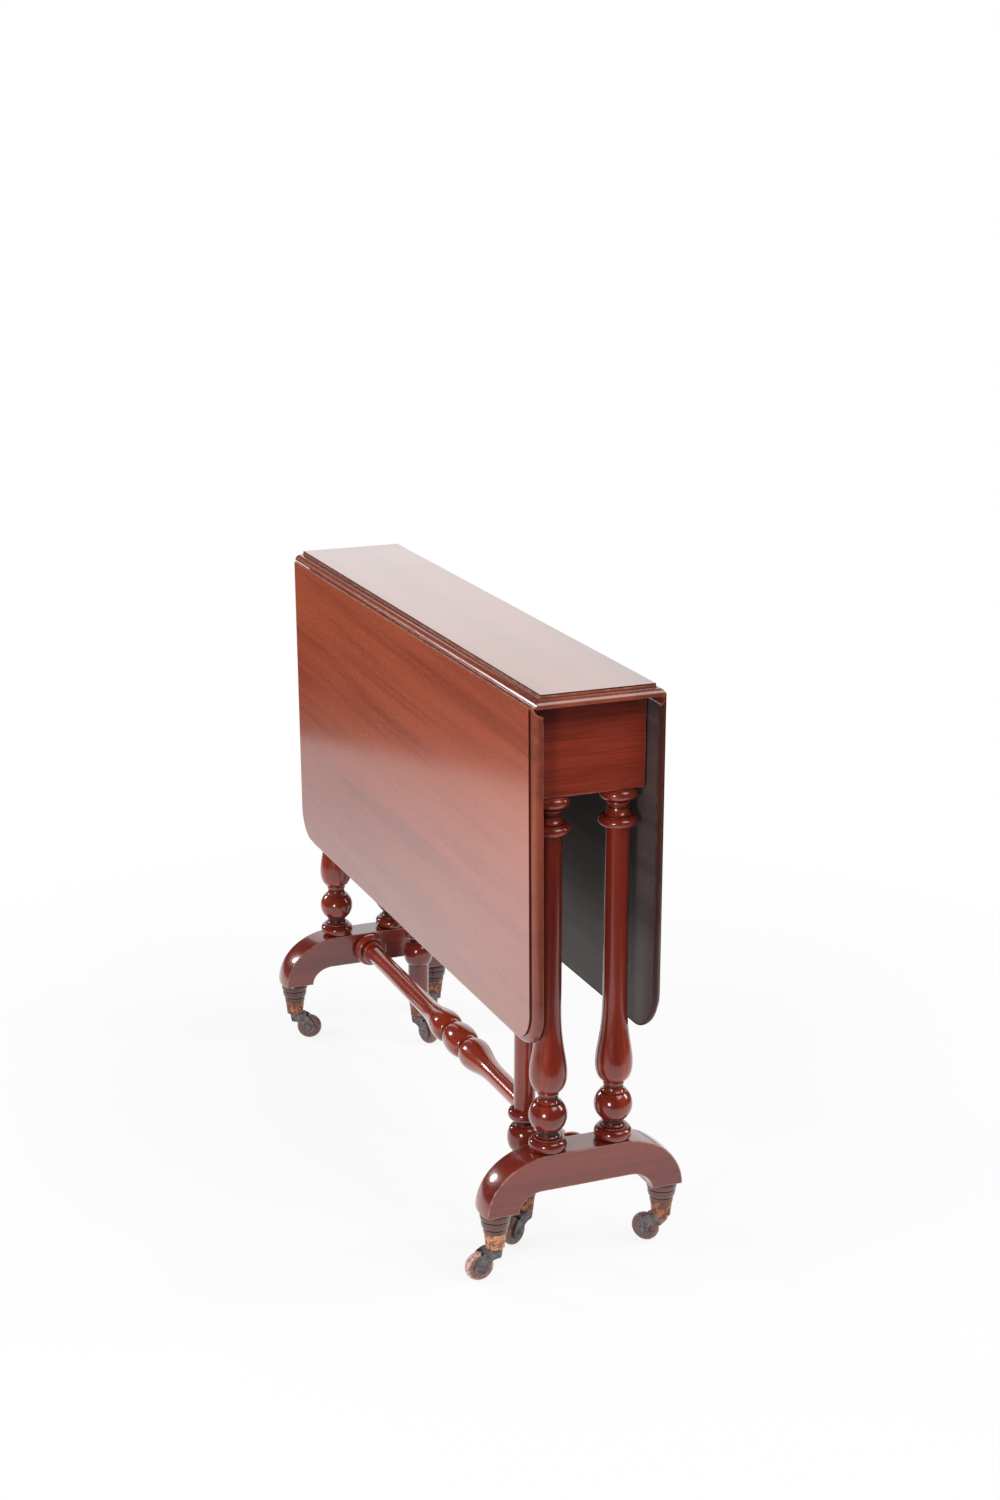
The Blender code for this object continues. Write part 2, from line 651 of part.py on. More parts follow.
def build_castor(name, parent, location, heading):
    """Castor under a peg: fixed cup, then fork, axle and wheel that swivel under it."""
    add_turned(name + "_castor_cup", cup_profile(), BRASS, parent=parent, location=location)
    swivel = add_axis(name + "_swivel_axis", parent, location, (0, 0, heading))
    across = (math.pi / 2, 0, 0)

    fork_mesh = outline_mesh(name, fork_outline(), FORK_WIDTH)
    fork = add_part(name + "_castor_fork", fork_mesh, IRON, swivel, rotation=across)
    slot_half = WHEEL_WIDTH / 2 + WHEEL_PLAY
    slot = rod_mesh("slot", WHEEL_R + 0.0015, -slot_half, slot_half)
    axle_at = (TRAIL, 0, WHEEL_R)
    combine(fork, add_cutter(name + "_wheel_slot", slot, swivel, axle_at, across))
    drill(fork, name + "_swivel_hole", SWIVEL_R + BORE_PLAY, SWIVEL_LENGTH + SEAT_GAP, swivel,
          (0, 0, CUP_BOTTOM - SEAT_GAP), steps=AXLE_STEPS)
    hole = rod_mesh("hole", AXLE_R + BORE_PLAY, -FORK_WIDTH, FORK_WIDTH, AXLE_STEPS)
    combine(fork, add_cutter(name + "_axle_hole", hole, swivel, axle_at, across))

    head = FORK_WIDTH / 2 + SEAT_GAP
    axle = [(0.0, head + AXLE_HEAD), (AXLE_HEAD_R * 0.75, head + AXLE_HEAD), (AXLE_HEAD_R, head),
            (AXLE_R, head)]
    axle += [(radius, -z) for radius, z in reversed(axle)]
    add_turned(name + "_castor_axle", axle, IRON, AXLE_STEPS, parent=swivel, location=axle_at,
               rotation=across)

    half, bore, edge = WHEEL_WIDTH / 2, AXLE_R + BORE_PLAY, 0.0017
    rim = [(bore, half), (WHEEL_R - edge, half), (WHEEL_R, half - edge)]
    rim += [(radius, -z) for radius, z in reversed(rim)]
    add_turned(name + "_castor_wheel", rim, TREAD, WHEEL_STEPS, True, parent=swivel, location=axle_at,
               rotation=across)


def build_core():
    """Two long rails between the end rails, under the top."""
    reach = RAIL_OUTER_X - RAIL_THICK - SEAT_GAP
    for side, turn in SIDES.items():
        mesh = box_mesh(side, (-reach, CORE_INNER_Y, CORE_BOTTOM),
                        (reach, CORE_OUTER_Y, UNDERSIDE - SEAT_GAP))
        add_part(side + "_core_rail", mesh, RAW_WOOD, rotation=(0, 0, turn))


def main():
    """Build the table from the top down."""
    top = build_top()
    for side in SIDES:
        build_leaf(side, top)
    build_core()
    for side in SIDES:
        build_gate(side)
    for end in ENDS:
        build_trestle(end)
    build_stretcher()
    bpy.context.view_layer.update()


main()
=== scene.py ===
"""Looks of a Sutherland table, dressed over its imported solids.

The table stands on z = 0 with its length along X and its front leaf towards -Y, in metres. Each
sub-assembly is a class that turns, lofts or saws its own pieces and gives them a finish.
"""

import logging
import math
from dataclasses import dataclass
from enum import Enum
from typing import Any, Callable, Iterable, Sequence

import bmesh
import bpy
from mathutils import Matrix, Vector


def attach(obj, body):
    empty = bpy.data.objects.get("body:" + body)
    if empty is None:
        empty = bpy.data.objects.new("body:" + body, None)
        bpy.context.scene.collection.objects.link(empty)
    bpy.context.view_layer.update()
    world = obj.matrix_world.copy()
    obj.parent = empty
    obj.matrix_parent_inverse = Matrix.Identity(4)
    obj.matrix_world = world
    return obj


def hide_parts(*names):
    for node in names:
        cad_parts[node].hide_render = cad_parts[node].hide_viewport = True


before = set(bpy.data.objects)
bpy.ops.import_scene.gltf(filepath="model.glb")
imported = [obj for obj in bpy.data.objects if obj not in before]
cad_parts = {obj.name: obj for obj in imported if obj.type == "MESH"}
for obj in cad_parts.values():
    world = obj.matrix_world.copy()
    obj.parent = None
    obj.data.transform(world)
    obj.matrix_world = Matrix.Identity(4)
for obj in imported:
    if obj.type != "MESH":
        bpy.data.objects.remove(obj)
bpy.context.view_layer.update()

LOG = logging.getLogger("sutherland_table")
MERGE = 1e-6
DOWNWARD = math.cos(math.radians(10.0))
HOLLOW_REACH = 0.006
HOLLOW_DEPTH = 0.0017
QUARTER = math.pi / 2
RAYS = ("Is Camera Ray", "Is Glossy Ray", "Is Transmission Ray")

# Sizes that several sub-assemblies share: where the castors, columns and hinges are, the spigot in
# each castor's cup, and the play where two turned pieces meet.
TRESTLE_X = 0.388
PEG_Y = 0.1092
HINGE_X = 0.240
CUP_TOP = 0.0595
GAP = 0.0003
SPIGOT = (0.0105, 0.0060)

Point = tuple[float, float]
Triple = tuple[float, float, float]
Material = bpy.types.Material
Object = bpy.types.Object


class Named(Enum):
    """A member whose name is part of the pieces' names."""

    @property
    def label(self) -> str:
        """The member in the pieces' names."""
        return self.name.lower()


class Side(Named):
    """Long side of the table, with its half turn about Z from the back."""

    FRONT = math.pi
    BACK = 0.0

    @property
    def sign(self) -> float:
        """Direction of the side along Y."""
        return math.cos(self.value)


class End(Named):
    """End of the table, with its direction along X."""

    RIGHT = 1.0
    LEFT = -1.0


class Grain(Enum):
    """Direction in which the wood's fibres run, as the turn that lays it along X."""

    ALONG_X = (0.0, 0.0, 0.0)
    ALONG_Y = (0.0, 0.0, QUARTER)
    ALONG_Z = (0.0, QUARTER, 0.0)


class Mark(Enum):
    """Surface value that a piece's points carry for its finish."""

    # Grooves, fillets and leaf edges, darkened with painted shade and dirt.
    GROOVE = "groove"
    WEAR = "wear"


class Lathe:
    """Profile of a turned piece: (radius, height) points, cut from its top end down."""

    def __init__(self, top: float, steps: int = 8) -> None:
        """Start on the axis.

        Args:
            top: Height of the piece's top end.
            steps: Points on each curved cut.
        """
        self.height = top
        self.steps = steps
        self.points: list[Point] = [(0.0, top)]

    def _to(self, radius: float, height: float) -> None:
        """Add a point, unless it repeats the last one."""
        if math.dist(self.points[-1], (radius, height)) > MERGE:
            self.points.append((radius, height))

    def _curve(self, radius: float, length: float, steps: int,
               shape: Callable[[float], Point]) -> "Lathe":
        """Cut a curve from the last radius to a new one.

        Args:
            radius: Radius at the lower end.
            length: Length along the axis.
            steps: Number of chords.
            shape: Shares of the way across and down, for a share of the curve.

        Returns:
            The lathe, for the next cut.
        """
        start, top = self.points[-1][0], self.height
        for step in range(1, steps + 1):
            across, down = shape(step / steps)
            self._to(start + (radius - start) * across, top - length * down)
        self.height = top - length
        return self

    def band(self, radius: float, length: float, end: float | None = None) -> "Lathe":
        """Cut a plain or tapered band.

        Args:
            radius: Radius at its upper end.
            length: Length along the axis.
            end: Radius at its lower end, where it tapers.

        Returns:
            The lathe, for the next cut.
        """
        self._to(radius, self.height)
        self.height -= length
        self._to(radius if end is None else end, self.height)
        return self

    def rise(self, radius: float, length: float) -> "Lathe":
        """Cut a round that opens out flat and turns straight down."""
        return self._curve(radius, length, self.steps,
                           lambda t: (math.sin(QUARTER * t), 1 - math.cos(QUARTER * t)))

    def sweep(self, radius: float, length: float) -> "Lathe":
        """Cut a round or a hollow that leaves straight down and ends flat."""
        return self._curve(radius, length, self.steps,
                           lambda t: (1 - math.cos(QUARTER * t), math.sin(QUARTER * t)))

    def swell(self, radius: float, length: float) -> "Lathe":
        """Cut a long swelling, slow at first."""
        return self._curve(radius, length, self.steps * 3,
                           lambda t: ((1 - math.cos(math.pi * t ** 2)) / 2, t))

    def bead(self, radius: float, edge: float, length: float) -> "Lathe":
        """Cut a bead that swells from its edge to its radius and back."""
        self._to(edge, self.height)
        return self.rise(radius, length / 2).sweep(edge, length / 2)

    def ball(self, radius: float, above: float, below: float) -> "Lathe":
        """Cut a ball.

        Args:
            radius: Its radius.
            above: How far it reaches above its centre.
            below: How far it reaches below its centre.

        Returns:
            The lathe, for the next cut.
        """
        start, end = math.asin(above / radius), -math.asin(below / radius)
        middle, steps = self.height - above, 2 * self.steps
        for step in range(steps + 1):
            angle = start + (end - start) * step / steps
            self._to(radius * math.cos(angle), middle + radius * math.sin(angle))
        self.height = middle - below
        return self

    def close(self) -> list[Point]:
        """End the piece on its axis."""
        self._to(0.0, self.height)
        return self.points


def both_ways(half: list[Point]) -> list[Point]:
    """Repeat the upper half of a profile below its last point, mirrored."""
    return half + [(radius, -along) for radius, along in reversed(half[:-1])]


def rod(radius: float, half: float) -> list[Point]:
    """Profile of a plain rod, as long to both sides of its middle."""
    return [(0.0, half), (radius, half), (radius, -half), (0.0, -half)]


def arc(centre: Point, radii: Point, start: float, end: float, steps: int) -> list[Point]:
    """Points of an elliptic arc between two angles in degrees, both ends included."""
    angles = [math.radians(start + (end - start) * i / steps) for i in range(steps + 1)]
    return [(centre[0] + radii[0] * math.cos(a), centre[1] + radii[1] * math.sin(a))
            for a in angles]


def pick(items: Iterable[Any], kind: type) -> list[Any]:
    """Keep the points, edges or faces of what an operator made."""
    return [item for item in items if isinstance(item, kind)]


def linked(name: str, bm: bmesh.types.BMesh, finishes: Sequence[Material]) -> Object:
    """Make an object and link it to the scene.

    Args:
        name: Its name.
        bm: Its mesh, used up here.
        finishes: Its materials, in order.

    Returns:
        The object.
    """
    mesh = bpy.data.meshes.new(name)
    bm.to_mesh(mesh)
    bm.free()
    for finish in finishes:
        mesh.materials.append(finish)
    obj = bpy.data.objects.new(name, mesh)
    bpy.context.scene.collection.objects.link(obj)
    return obj


@dataclass(frozen=True)
class Spot:
    """A point of a loop, with its marks."""

    at: Triple
    groove: float = 0.0
    wear: float = 0.0


class Blank:
    """A piece in the making: a bmesh that operators shape, and the marks on its points."""

    def __init__(self) -> None:
        """Start with nothing."""
        self.bm = bmesh.new()
        self.groove = self.bm.verts.layers.float.new(Mark.GROOVE.value)
        self.wear = self.bm.verts.layers.float.new(Mark.WEAR.value)

    @property
    def geom(self) -> list[Any]:
        """All points, edges and faces."""
        return self.bm.verts[:] + self.bm.edges[:] + self.bm.faces[:]

    def _ring(self, verts: list[bmesh.types.BMVert]) -> list[bmesh.types.BMEdge]:
        """Join points into a closed loop."""
        return [self.bm.edges.new(pair) for pair in zip(verts, verts[1:] + verts[:1])]

    @classmethod
    def turned(cls, points: Sequence[Point], steps: int = 64, ring: bool = False) -> "Blank":
        """Spin a profile round the Z axis.

        Args:
            points: Radius and height of each point of the profile.
            steps: Chords round the axis.
            ring: True where the profile closes on itself.

        Returns:
            The turned blank, its hollows marked as grooves, for painted shade and dirt.
        """
        blank = cls()
        line = [blank.bm.verts.new((radius, 0.0, height)) for radius, height in points]
        pairs = zip(line, line[1:] + line[:1] if ring else line[1:])
        edges = [blank.bm.edges.new(pair) for pair in pairs]
        for vert, depth in zip(line, cls._hollows(points)):
            vert[blank.groove] = depth
        bmesh.ops.spin(blank.bm, geom=line + edges, cent=(0, 0, 0), axis=(0, 0, 1),
                       dvec=(0, 0, 0), angle=2 * math.pi, steps=steps, use_merge=True,
                       use_duplicate=False)
        return blank.tidy()

    @staticmethod
    def _hollows(points: Sequence[Point]) -> list[float]:
        """Find how deep each point of a profile lies below its neighbourhood.

        Args:
            points: The profile.

        Returns:
            A value for each point, from 0 to 1 for a full groove, which is darkened with painted
            shade and dirt.
        """
        found = []
        for radius, height in points:
            above = [r - radius for r, z in points if 0 < z - height < HOLLOW_REACH]
            below = [r - radius for r, z in points if 0 < height - z < HOLLOW_REACH]
            lip = min(max(above, default=0.0), max(below, default=0.0))
            found.append(max(0.0, min(1.0, lip / HOLLOW_DEPTH)))
        return found

    @classmethod
    def lofted(cls, loops: Sequence[Sequence[Spot]], margin: float) -> "Blank":
        """Bridge a stack of closed loops and fill both ends.

        Args:
            loops: Points of each loop, the same number in each.
            margin: How far the marks of the end loops run on to the end faces.

        Returns:
            The closed blank.
        """
        blank = cls()
        rings = []
        for loop in loops:
            verts = [blank.bm.verts.new(spot.at) for spot in loop]
            for vert, spot in zip(verts, loop):
                vert[blank.groove], vert[blank.wear] = spot.groove, spot.wear
            rings.append(blank._ring(verts))
        for lower, upper in zip(rings, rings[1:]):
            bmesh.ops.bridge_loops(blank.bm, edges=lower + upper)
        for end in (rings[0], rings[-1]):
            field = bmesh.ops.edgeloop_fill(blank.bm, edges=end)["faces"]
            bmesh.ops.inset_region(blank.bm, faces=field, thickness=margin, use_even_offset=True)
            for vert in field[0].verts:
                vert[blank.groove] = vert[blank.wear] = 0.0
        return blank.tidy()

    @classmethod
    def box(cls, low: Triple, high: Triple) -> "Blank":
        """Saw a box between two corners."""
        blank = cls()
        bmesh.ops.create_cube(blank.bm, size=1.0)
        size = [b - a for a, b in zip(low, high)]
        bmesh.ops.scale(blank.bm, vec=size, verts=blank.bm.verts)
        middle = [(a + b) / 2 for a, b in zip(low, high)]
        bmesh.ops.translate(blank.bm, vec=middle, verts=blank.bm.verts)
        return blank.tidy()

    @classmethod
    def sawn(cls, outline: Sequence[Point], thickness: float) -> "Blank":
        """Saw a flat outline in XY from a plank, to both sides of z = 0.

        Args:
            outline: Points of the outline, in order.
            thickness: Thickness of the plank.

        Returns:
            The closed blank.
        """
        blank = cls()
        edges = blank._ring([blank.bm.verts.new((x, y, -thickness / 2)) for x, y in outline])
        face = bmesh.ops.edgeloop_fill(blank.bm, edges=edges)["faces"][0]
        pushed = bmesh.ops.extrude_face_region(blank.bm, geom=[face])["geom"]
        moved = pick(pushed, bmesh.types.BMVert)
        bmesh.ops.translate(blank.bm, vec=(0, 0, thickness), verts=moved)
        return blank.tidy()

    def tidy(self) -> "Blank":
        """Close seams and poles, and turn the faces out."""
        bmesh.ops.remove_doubles(self.bm, verts=self.bm.verts, dist=MERGE)
        bmesh.ops.recalc_face_normals(self.bm, faces=self.bm.faces)
        return self

    def soften(self, radius: float, margin: float = 0.0022, angle: float = 30.0) -> "Blank":
        """Round the sharp arrises and mark them as worn.

        Args:
            radius: Width of the rounding.
            margin: How far the wear runs on to the faces beside it.
            angle: Edges that turn by more than this, in degrees, are sharp.

        Returns:
            The blank.
        """
        limit = math.radians(angle)
        sharp = [edge for edge in self.bm.edges
                 if edge.is_manifold and edge.calc_face_angle() > limit]
        made = bmesh.ops.bevel(self.bm, geom=sharp, offset=radius, offset_type="OFFSET",
                               segments=3, profile=0.5, affect="EDGES", material=-1,
                               clamp_overlap=True)
        for vert in made["verts"]:
            vert[self.wear] = 1.0
        worn = [face for face in self.bm.faces if all(vert[self.wear] > 0.5 for vert in face.verts)]
        broad = [face for face in worn if len(face.edges) > 8
                 or min(edge.calc_length() for edge in face.edges) > 4 * margin]
        bmesh.ops.inset_individual(self.bm, faces=broad, thickness=margin, depth=0.0,
                                   use_even_offset=False)
        for face in broad:
            for vert in face.verts:
                vert[self.wear] = 0.0
        return self.tidy()

    def join(self, other: "Blank") -> "Blank":
        """Take another blank into this one, as a second body."""
        mesh = bpy.data.meshes.new("joined")
        other.bm.to_mesh(mesh)
        other.bm.free()
        self.bm.from_mesh(mesh)
        bpy.data.meshes.remove(mesh)
        return self

    def place(self, matrix: Matrix) -> "Blank":
        """Carry the blank to its place on the table."""
        bmesh.ops.transform(self.bm, matrix=matrix, verts=self.bm.verts)
        return self

    def paint_below(self) -> "Blank":
        """Give the faces that look straight down the second finish."""
        self.bm.normal_update()
        for face in self.bm.faces:
            if -face.normal.z > DOWNWARD:
                face.material_index = 1
        return self

    def piece(self, name: str, finishes: Sequence[Material], crisp: float = 32.0) -> Object:
        """Make the finished object.

        Args:
            name: Name of the piece.
            finishes: Its materials, in order.
            crisp: Edges that turn by more than this, in degrees, stay sharp in shading.

        Returns:
            The object, linked to the scene.
        """
        obj = linked(name, self.bm, finishes)
        obj.data.polygons.foreach_set("use_smooth", [True] * len(obj.data.polygons))
        obj.data.set_sharp_from_angle(angle=math.radians(crisp))
        return obj


def carve(obj: Object, tools: Sequence[Blank]) -> None:
    """Cut tool shapes out of a piece, in its own mesh.

    Args:
        obj: The piece.
        tools: Shapes to cut away, used up here.
    """
    cutters = [tool.piece("cutter", []) for tool in tools]
    for cutter in cutters:
        cut = obj.modifiers.new("cut", "BOOLEAN")
        cut.operation, cut.solver, cut.object = "DIFFERENCE", "EXACT", cutter
    graph = bpy.context.evaluated_depsgraph_get()
    carved = bpy.data.meshes.new_from_object(obj.evaluated_get(graph))
    rough, obj.data = obj.data, carved
    carved.name = rough.name
    obj.modifiers.clear()
    for cutter in cutters:
        bpy.data.objects.remove(cutter, do_unlink=True)
    bpy.data.meshes.remove(rough)


def fit(obj: Object, body: str, slot: str, *nodes: str) -> None:
    """Fix a finished piece to its body, in place of the solids that it stands for.

    Args:
        obj: The piece.
        body: Body that carries it.
        slot: Finish slot of the record; not used.
        nodes: Solids that it stands for.
    """
    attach(obj, body)
    if nodes:
        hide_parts(*nodes)
    LOG.info("%s rides on %s", obj.name, body)


def dress(node: str, finish: Material) -> None:
    """Give a solid that stays in view its finish.

    Args:
        node: Name of the solid.
        finish: Its material.
    """
    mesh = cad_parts[node].data
    mesh.materials.clear()
    mesh.materials.append(finish)
    LOG.info("%s dressed in %s", node, finish.name)


def math_node(operation: str, swapped: bool = False) -> Callable[["Value", Any], "Value"]:
    """Make an operator of shader values.

    Args:
        operation: Operation of the Math node that it adds.
        swapped: True where the other value comes first.

    Returns:
        The operator.
    """
    def operate(value: "Value", other: "Value | float") -> "Value":
        """Add the node."""
        pair = (other, value) if swapped else (value, other)
        return value.shade.node("ShaderNodeMath", {"operation": operation}, dict(enumerate(pair)))

    return operate


class Value:
    """A shader socket that takes part in sums."""

    __add__, __radd__ = math_node("ADD"), math_node("ADD", swapped=True)
    __sub__, __rsub__ = math_node("SUBTRACT"), math_node("SUBTRACT", swapped=True)
    __mul__, __rmul__ = math_node("MULTIPLY"), math_node("MULTIPLY", swapped=True)
    most = math_node("MAXIMUM")

    def __init__(self, shade: "Nodes", socket: bpy.types.NodeSocket) -> None:
        """Wrap a socket of a tree in the making."""
        self.shade = shade
        self.socket = socket

    def between(self, low: float, high: float) -> "Value":
        """Stretch the values from low to high over 0 to 1, and clip the rest."""
        return self.shade.node("ShaderNodeMapRange", {"clamp": True},
                               {"Value": self, "From Min": low, "From Max": high})


class Nodes:
    """A node tree in the making."""

    def __init__(self, tree: bpy.types.NodeTree) -> None:
        """Take over a tree."""
        self.tree = tree

    def node(self, kind: str, settings: dict | None = None, inputs: dict | None = None,
             out: int | str = 0) -> Value:
        """Add a node.

        Args:
            kind: Blender's name of the node type.
            settings: Properties, set first.
            inputs: Values or links, by socket name or index.
            out: Output that is wanted.

        Returns:
            The output, for sums and links.
        """
        made = self.tree.nodes.new(kind)
        for key, value in (settings or {}).items():
            setattr(made, key, value)
        for key, value in (inputs or {}).items():
            self.set(made.inputs[key], value)
        return Value(self, made.outputs[out])

    def set(self, socket: bpy.types.NodeSocket, value: "Value | float | Sequence[float]") -> None:
        """Link a value to a socket, or write a constant on it."""
        if isinstance(value, Value):
            self.tree.links.new(value.socket, socket)
        elif isinstance(value, (int, float)):
            socket.default_value = value
        else:
            socket.default_value = (*value, 1.0)[:len(socket.default_value)]

    def rays(self) -> list[Value]:
        """Tell the rays of the camera, of polish and of glass."""
        return [self.node("ShaderNodeLightPath", out=name) for name in RAYS]

    def blend(self, output: str, factor: Value, first: Value, second: Value) -> None:
        """Mix two shaders into the tree's output."""
        mixed = self.node("ShaderNodeMixShader", None, {0: factor, 1: first, 2: second})
        self.set(self.tree.nodes[output].inputs["Surface"], mixed)


class Shade(Nodes):
    """A procedural material in the making."""

    def __init__(self, name: str) -> None:
        """Start a material with its Principled shader."""
        self.material = bpy.data.materials.new(name)
        self.material.use_nodes = True
        super().__init__(self.material.node_tree)
        self.shader = self.tree.nodes["Principled BSDF"]
        self.place = self.node("ShaderNodeTexCoord", out="Object")

    def feed(self, **sockets: "Value | float | Sequence[float]") -> None:
        """Write or link sockets of the Principled shader, named with _ for spaces."""
        for key, value in sockets.items():
            self.set(self.shader.inputs[key.replace("_", " ")], value)

    def mapped(self, vector: Value, scale: Triple = (1, 1, 1), turn: Triple = (0, 0, 0)) -> Value:
        """Scale and turn coordinates."""
        return self.node("ShaderNodeMapping", {"vector_type": "POINT"},
                         {"Vector": vector, "Rotation": turn, "Scale": scale})

    def noise(self, vector: Value, scale: float, detail: float, rough: float,
              warp: float = 0.0) -> Value:
        """Add a noise pattern: its octaves, the share of the finer ones, and its distortion."""
        return self.node("ShaderNodeTexNoise", None,
                         {"Vector": vector, "Scale": scale, "Detail": detail, "Roughness": rough,
                          "Distortion": warp})

    def mix(self, factor: Value, first: Value | Triple, second: Value | Triple) -> Value:
        """Mix two colours."""
        return self.node("ShaderNodeMix", {"data_type": "RGBA", "blend_type": "MIX"},
                         {0: factor, 6: first, 7: second}, out=2)

    def mark(self, mark: Mark) -> Value:
        """Read a mark that the piece's points carry."""
        return self.node("ShaderNodeAttribute", {"attribute_name": mark.value}, out="Fac")

    def height(self) -> Value:
        """Read the height in the piece's own coordinates."""
        return self.node("ShaderNodeSeparateXYZ", None, {0: self.place}, out="Z")

    def bump(self, height: Value, strength: float, distance: float) -> Value:
        """Turn a height into a normal."""
        return self.node("ShaderNodeBump", None,
                         {"Height": height, "Strength": strength, "Distance": distance})


# Layers of mahogany's figure: scales along and across the fibres, octaves and their roughness.
FIGURE = ((1.3, 4.5, 1.0, 0.5), (1.1, 24.0, 2.0, 0.45), (2.4, 95.0, 2.0, 0.5),
          (13.0, 480.0, 2.0, 0.5), (80.0, 950.0, 1.0, 0.5))


@dataclass(frozen=True)
class Mahogany:
    """Mahogany, polished or bare, with its fibres along one axis.

    The overhang shadow is the span of heights over which the wood blackens, a painted shadow.
    Deep is the span over which it darkens downwards, and how much: painted shade.
    """

    name: str
    grain: Grain
    dark: Triple = (0.095, 0.0090, 0.0055)
    mid: Triple = (0.245, 0.0255, 0.0115)
    light: Triple = (0.375, 0.0530, 0.0220)
    tilt: Triple = (0.0, 0.0, 0.0)
    lines: float = 0.30
    flecks: float = 0.25
    rough: float = 0.22
    gloss: float = 0.35
    film: float = 0.9
    film_rough: float = 0.06
    film_ior: float = 1.5
    dirt: Triple = (0.012, 0.0040, 0.0030)
    worn: Triple = (0.52, 0.30, 0.23)
    wear: float = 0.55
    overhang_shadow: Point = (0.9, 1.0)
    deep: Triple = (0.0, 0.0, 0.0)
    relief: float = 0.03

    def make(self) -> Material:
        """Build the material."""
        shade = Shade(self.name)
        lay = shade.mapped(shade.mapped(shade.place, turn=self.grain.value), turn=self.tilt)
        sway, drift, bands, lines, flecks = (
            shade.noise(shade.mapped(lay, (along, across, across)), 1.0, detail, rough)
            for along, across, detail, rough in FIGURE)
        flecks = flecks.between(0.58, 0.78)

        tone = 0.36 * sway + 0.40 * drift + 0.24 * bands
        colour = shade.mix(tone.between(0.33, 0.51), self.dark, self.mid)
        colour = shade.mix(tone.between(0.47, 0.66), colour, self.light)
        colour = shade.mix(lines.between(0.40, 0.76) * self.lines, colour, self.dark)
        colour = shade.mix(flecks * self.flecks, colour, self.dirt)
        # Painted shade: the wood darkens downwards over the deep span.
        high, low, depth = self.deep
        if depth:
            colour = shade.mix(shade.height().between(high, low) * depth, colour, self.dark)

        # Painted shade and dirt: grooves, fillets and leaf edges, and the painted overhang shadow,
        # darken towards the dirt and shade tone.
        groove = shade.mark(Mark.GROOVE).between(0.08, 0.85)
        shade_and_dirt = groove.most(0.8 * shade.height().between(*self.overhang_shadow))
        colour = shade.mix(shade_and_dirt * 0.90, colour, self.dirt)
        chafe = shade.noise(shade.place, 60.0, 5.0, 0.65).between(0.46, 0.62)
        edge = shade.mark(Mark.WEAR).between(0.35, 1.0)
        colour = shade.mix(edge * (0.25 + 0.75 * chafe) * self.wear, colour, self.worn)

        cloud = shade.noise(shade.place, 9.0, 3.0, 0.55) - 0.5
        dull = self.rough + 0.12 * cloud + 0.06 * flecks + 0.15 * edge * chafe + 0.25 * groove
        shade.feed(Base_Color=colour, Roughness=dull, Specular_IOR_Level=self.gloss,
                   Coat_Weight=self.film * (1 - 0.85 * groove), Coat_Roughness=self.film_rough,
                   Coat_IOR=self.film_ior, Normal=shade.bump(lines, self.relief, 0.0002))
        return shade.material


@dataclass(frozen=True)
class Metal:
    """Old metal under a worn, patchy skin."""

    name: str
    bright: Triple
    dull: Triple
    stain: Triple
    metallic: float
    rough: float
    cover: Point = (0.42, 0.60)

    def make(self) -> Material:
        """Build the material."""
        shade = Shade(self.name)
        patch = shade.noise(shade.place, 160.0, 5.0, 0.7, 0.4).between(*self.cover)
        speck = shade.noise(shade.place, 520.0, 3.0, 0.6).between(0.52, 0.66)
        colour = shade.mix(patch, self.dull, self.bright)
        colour = shade.mix(speck * 0.6, colour, self.stain)
        edge = shade.mark(Mark.WEAR).between(0.4, 1.0)
        colour = shade.mix(edge * 0.35, colour, self.bright)
        brushed = shade.mapped(shade.place, (300.0, 300.0, 2200.0))
        scratch = shade.noise(brushed, 1.0, 2.0, 0.5)
        shade.feed(Base_Color=colour, Metallic=self.metallic * (0.35 + 0.65 * patch),
                   Roughness=self.rough + 0.22 * (1 - patch) + 0.10 * speck,
                   Normal=shade.bump(0.6 * patch + 0.4 * scratch, 0.20, 0.0003))
        return shade.material


@dataclass(frozen=True)
class Tread:
    """Brown pottery or wood of a castor's wheel, chafed pale where it rolls."""

    name: str
    body: Triple = (0.170, 0.062, 0.047)
    shade_tone: Triple = (0.070, 0.025, 0.020)
    chafed: Triple = (0.52, 0.30, 0.25)
    chafe: float = 0.30

    def make(self) -> Material:
        """Build the material."""
        shade = Shade(self.name)
        mottle = shade.noise(shade.place, 220.0, 4.0, 0.6).between(0.35, 0.68)
        colour = shade.mix(mottle, self.shade_tone, self.body)
        scuff = shade.noise(shade.place, 380.0, 5.0, 0.7).between(0.44, 0.60)
        worn = shade.mark(Mark.WEAR) * (0.35 + 0.65 * scuff) * self.chafe
        shade.feed(Base_Color=shade.mix(worn, colour, self.chafed),
                   Roughness=0.34 + 0.20 * (1 - mottle) + 0.25 * worn, Coat_Weight=0.35,
                   Coat_Roughness=0.15, Normal=shade.bump(mottle, 0.12, 0.0003))
        return shade.material


